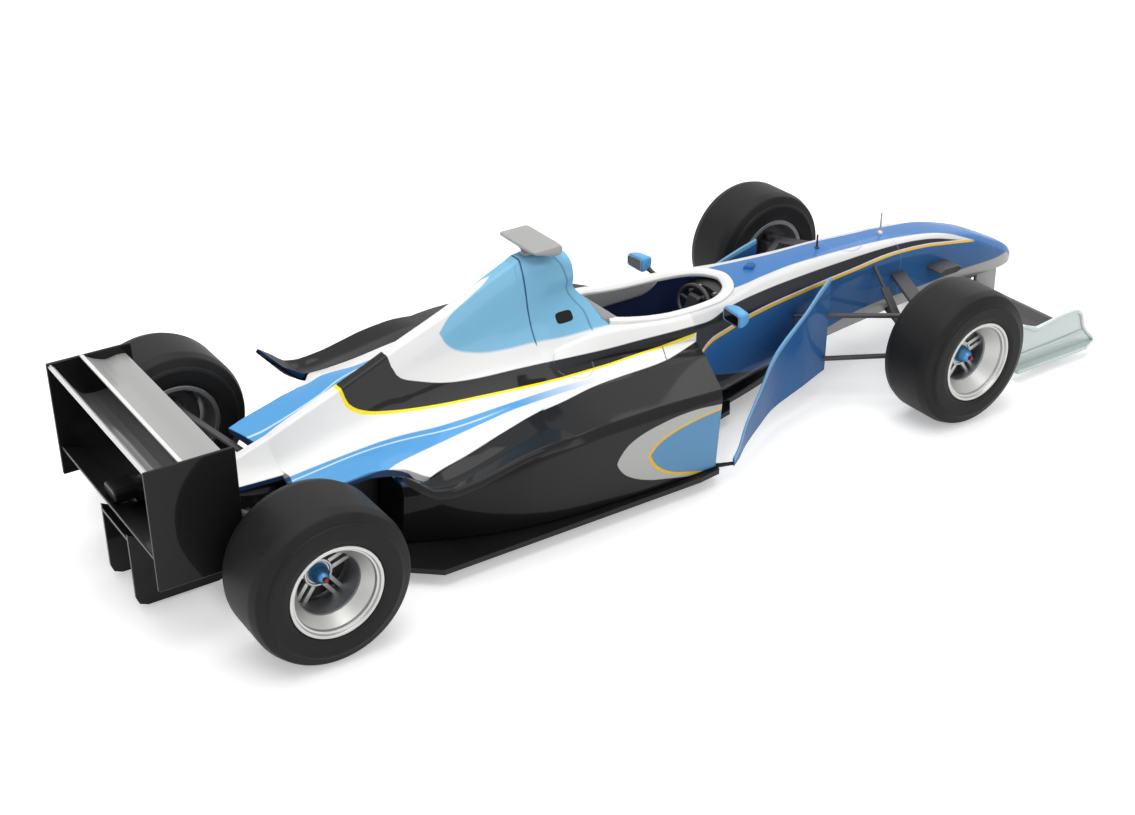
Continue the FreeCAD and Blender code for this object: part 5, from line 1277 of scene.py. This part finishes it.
element("rear_wing_upper", [
    (10.4, -2.0, 0.4), (13.0, -1.8, 2), (15.6, -2.3, 3), (18.0, -1.4, 3), (20.0, -0.25, 0.1),
    (20.1, 0.1, 0.1), (21.0, 0.1, 0.1), (20.9, -0.4, 0.1), (18.6, -2.1, 3), (16.2, -3.3, 3),
    (13.0, -2.9, 2),
], SPAN, REAR_STATION, WING_TOP, SATIN_SILVER, "silver_paint", "rear_wing_mainplane")
element("rear_wing_lower", [
    (12.1, -8.5, 0.4), (16.5, -9.1, 3), (19.0, -9.2, 1), (21.5, -8.9, 2), (22.8, -7.3, 3), (24.9, -4.3, 4),
    (26.7, -1.5, 0.1), (26.6, -1.0, 0.1), (27.4, -0.2, 0.1), (28.0, -0.7, 0.1), (25.7, -4.7, 4),
    (23.5, -7.9, 3), (22.0, -9.8, 1.5), (19.0, -10.2, 3), (16.5, -10.1, 3),
], SPAN, REAR_STATION, WING_TOP, DARK_SILVER, "silver_paint", "rear_wing_flap")
element("rear_beam_wing", [
    (14.6, 2.9, 0.4), (17.0, 2.2, 1.5), (22.0, 3.1, 3), (27.7, 6.3, 0.2), (27.8, 7.3, 0.2), (27.0, 6.9, 0.1),
    (22.0, 4.5, 3), (17.2, 3.6, 1.5),
], SPAN, REAR_STATION, WING_BOTTOM, BLACK_PAINT, "black_gloss", "rear_lower_wing")


def plates(name, outline, inner, outer, finish, slot, node):
    """Upright plate on both sides, with softened edges; the outline is station, z and corner radius."""
    soft = 0.15
    rows = []
    middle = np.array(outline, float)[:, :2].mean(axis=0)
    for x, inset in ((inner, soft), (inner + soft, 0.0), (outer - soft, 0.0), (outer, soft)):
        row = []
        for s, z, r in outline:
            away = np.array([s, z]) - middle
            away = away / np.abs(away).max() * inset
            row.append((x, s - away[0], z - away[1], r))
        rows.append(row)
    pair(name, rows, [finish], slot, node, step=0.4, flat=3, sharp=20.0)


low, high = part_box("rear_wing_endplate_left")
plates("rear_endplate", [
    (REAR_STATION + 9.6, WING_BOTTOM, 0.4), (REAR_STATION + 28.2, WING_BOTTOM, 0.4),
    (REAR_STATION + 28.2, WING_TOP, 0.3), (REAR_STATION + 9.6, WING_TOP, 0.3),
], low.x / MM, high.x / MM, BLACK_PAINT, "black_gloss", "rear_wing_endplate_{side}")

# ------------------------------------------------------ gearbox and crash frame
# Black cast casing that tapers back under the wing to the crash structure,
# which ends in the rain light, here an unlit black block.

GEARBOX = [
    half_row(158.0, 17.6, [(4.2, 17.6, 1), (6.6, 15.0, 1), (6.6, 8.0, 1), (4.0, 4.6, 1)], 4.6),
    half_row(176.0, 20.8, [(3.4, 20.4, 1), (5.4, 18.0, 1), (5.6, 11.2, 1), (3.6, 9.6, 1)], 9.6),
    half_row(186.0, 24.0, [(2.6, 23.8, 1), (4.2, 21.6, 1), (4.2, 15.0, 1), (2.8, 13.6, 1)], 13.6),
    half_row(190.0, 25.6, [(2.2, 25.4, 1), (3.4, 23.8, 1), (3.4, 20.4, 1), (2.6, 19.6, 1)], 19.6),
    half_row(196.4, 26.4, [(2.2, 26.3, 1), (3.2, 25.0, 1), (3.2, 23.2, 1), (2.4, 22.2, 1)], 22.2),
]
LAMP = [
    half_row(196.2, 26.4, [(2.3, 26.4, 0.6), (3.1, 25.6, 0.6), (3.1, 23.8, 0.6), (2.3, 23.1, 0.6)], 23.1),
    half_row(200.9, 26.4, [(2.3, 26.4, 0.6), (3.1, 25.6, 0.6), (3.1, 23.8, 0.6), (2.3, 23.1, 0.6)], 23.1),
    half_row(201.2, 26.2, [(2.1, 26.2, 0.5), (2.9, 25.5, 0.5), (2.9, 23.9, 0.5), (2.1, 23.3, 0.5)], 23.3),
]
hull("gearbox_case", GEARBOX, [BLACK_PAINT], "black_plastic", ["gearbox"])
hull("rain_light_case", LAMP, [BLACK_PAINT], "black_plastic", ["rain_light"], step=0.5)

# ------------------------------------------------------------------ front wing
# Black plates on two silver pylons under the nose, between pale endplates that
# have a raised border, a ridge along the side and a flared foot.

FRONT_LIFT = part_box("front_wing_mainplane")[0].z / MM
FRONT_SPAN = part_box("front_wing_endplate_left")[0].x / MM + 0.3
element("front_wing_main", [
    (-51.4, 1.2, 0.3), (-49.0, 0.2, 2), (-44.0, 0.0, 3), (-40.5, 0.7, 0.1), (-40.5, 1.0, 0.1),
    (-44.5, 1.3, 3), (-49.0, 1.9, 2),
], FRONT_SPAN, 0.0, FRONT_LIFT, BLACK_PAINT, "black_gloss", "front_wing_mainplane")
element("front_wing_upper", [
    (-41.4, 1.6, 0.2), (-39.8, 1.2, 1), (-34.5, 3.2, 3), (-31.0, 5.9, 0.1), (-31.4, 6.4, 0.1),
    (-35.8, 4.0, 3), (-39.8, 1.9, 1),
], FRONT_SPAN, 0.0, FRONT_LIFT, BLACK_PLASTIC, "black_plastic", "front_wing_flap")
PALE_SILVER = flaked_silver("pale_silver", (0.48, 0.56, 0.55), (0.58, 0.65, 0.64), 0.3, 0.12,
                            Metallic=0.2, Coat_Weight=0.8, Coat_Roughness=0.1)
FRONT_PLATE = [
    (-57.0, 3.0, 0.2), (-56.6, 4.2, 0.4), (-52.0, 9.0, 2), (-50.4, 13.0, 1.4), (-48.0, 14.3, 1.0),
    (-45.6, 14.3, 0.8), (-34.0, 12.9, 4), (-28.6, 15.0, 1.0), (-26.6, 15.2, 0.8), (-25.6, 14.2, 0.8),
    (-25.6, 3.0, 0.3),
]
FOOT = [(34.6, -57.4, 0.2), (35.9, -57.0, 0.3), (37.8, -52.0, 1.2), (37.8, -26.0, 0.4), (34.6, -26.0, 0.2)]
PYLON = [(-51.0, -43.0, 7.0), (-50.8, -42.8, 12.0), (-50.6, -42.6, 17.4)]
plates("front_endplate", FRONT_PLATE, 34.6, 35.4, PALE_SILVER, "silver_paint", "front_wing_endplate_{side}")
for side, sign in SIDES:
    border = [(sign * 35.5, s, z - 0.4) for s, z, r in FRONT_PLATE[1:10]]
    tube(f"front_plate_border_{side}", border, 0.5, [PALE_SILVER], "root", sides=10)
    ridge = [(sign * 35.4, -51.6, 7.4), (sign * 35.6, -46.0, 7.0), (sign * 35.6, -26.2, 6.4)]
    tube(f"front_plate_ridge_{side}", ridge, 0.45, [PALE_SILVER], "root", sides=10)
rows = [[(x, s, z, r) for x, s, r in FOOT] for z in (2.6, 3.6)]
pair("front_foot", rows, [PALE_SILVER], "silver_paint", step=0.5)
rows = [[(3.8, front, z, 0.5), (5.0, front, z, 0.5), (5.0, back, z, 0.5), (3.8, back, z, 0.5)]
        for front, back, z in PYLON]
pair("front_pylon", rows, [SATIN_SILVER], "silver_paint", "front_wing_pylons")

# --------------------------------------------------- floor, engine, suspension
# The floor, diffuser and engine block are black; wishbones, pushrods and
# uprights are satin dark grey mouldings. These keep the frame's own shapes.

FLOOR_BLACK = lacquer("floor_black")
FLOOR_BLACK.clouded((0.010, 0.010, 0.011), (0.018, 0.018, 0.018), 300.0, 2.0, 0.25, 0.1)
CARRIED = {"floor": FLOOR_BLACK, "diffuser": FLOOR_BLACK, "plank": BLACK_PLASTIC, "engine": BLACK_PLASTIC}
for end, side, sign, station in WHEELS:
    CARRIED[f"{end}_suspension_{side}"] = GREY_PLASTIC
    CARRIED[f"{end}_upright_{side}"] = GREY_PLASTIC
for node_name, finish in CARRIED.items():
    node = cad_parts[node_name]
    node.data.materials.clear()
    node.data.materials.append(finish.material)
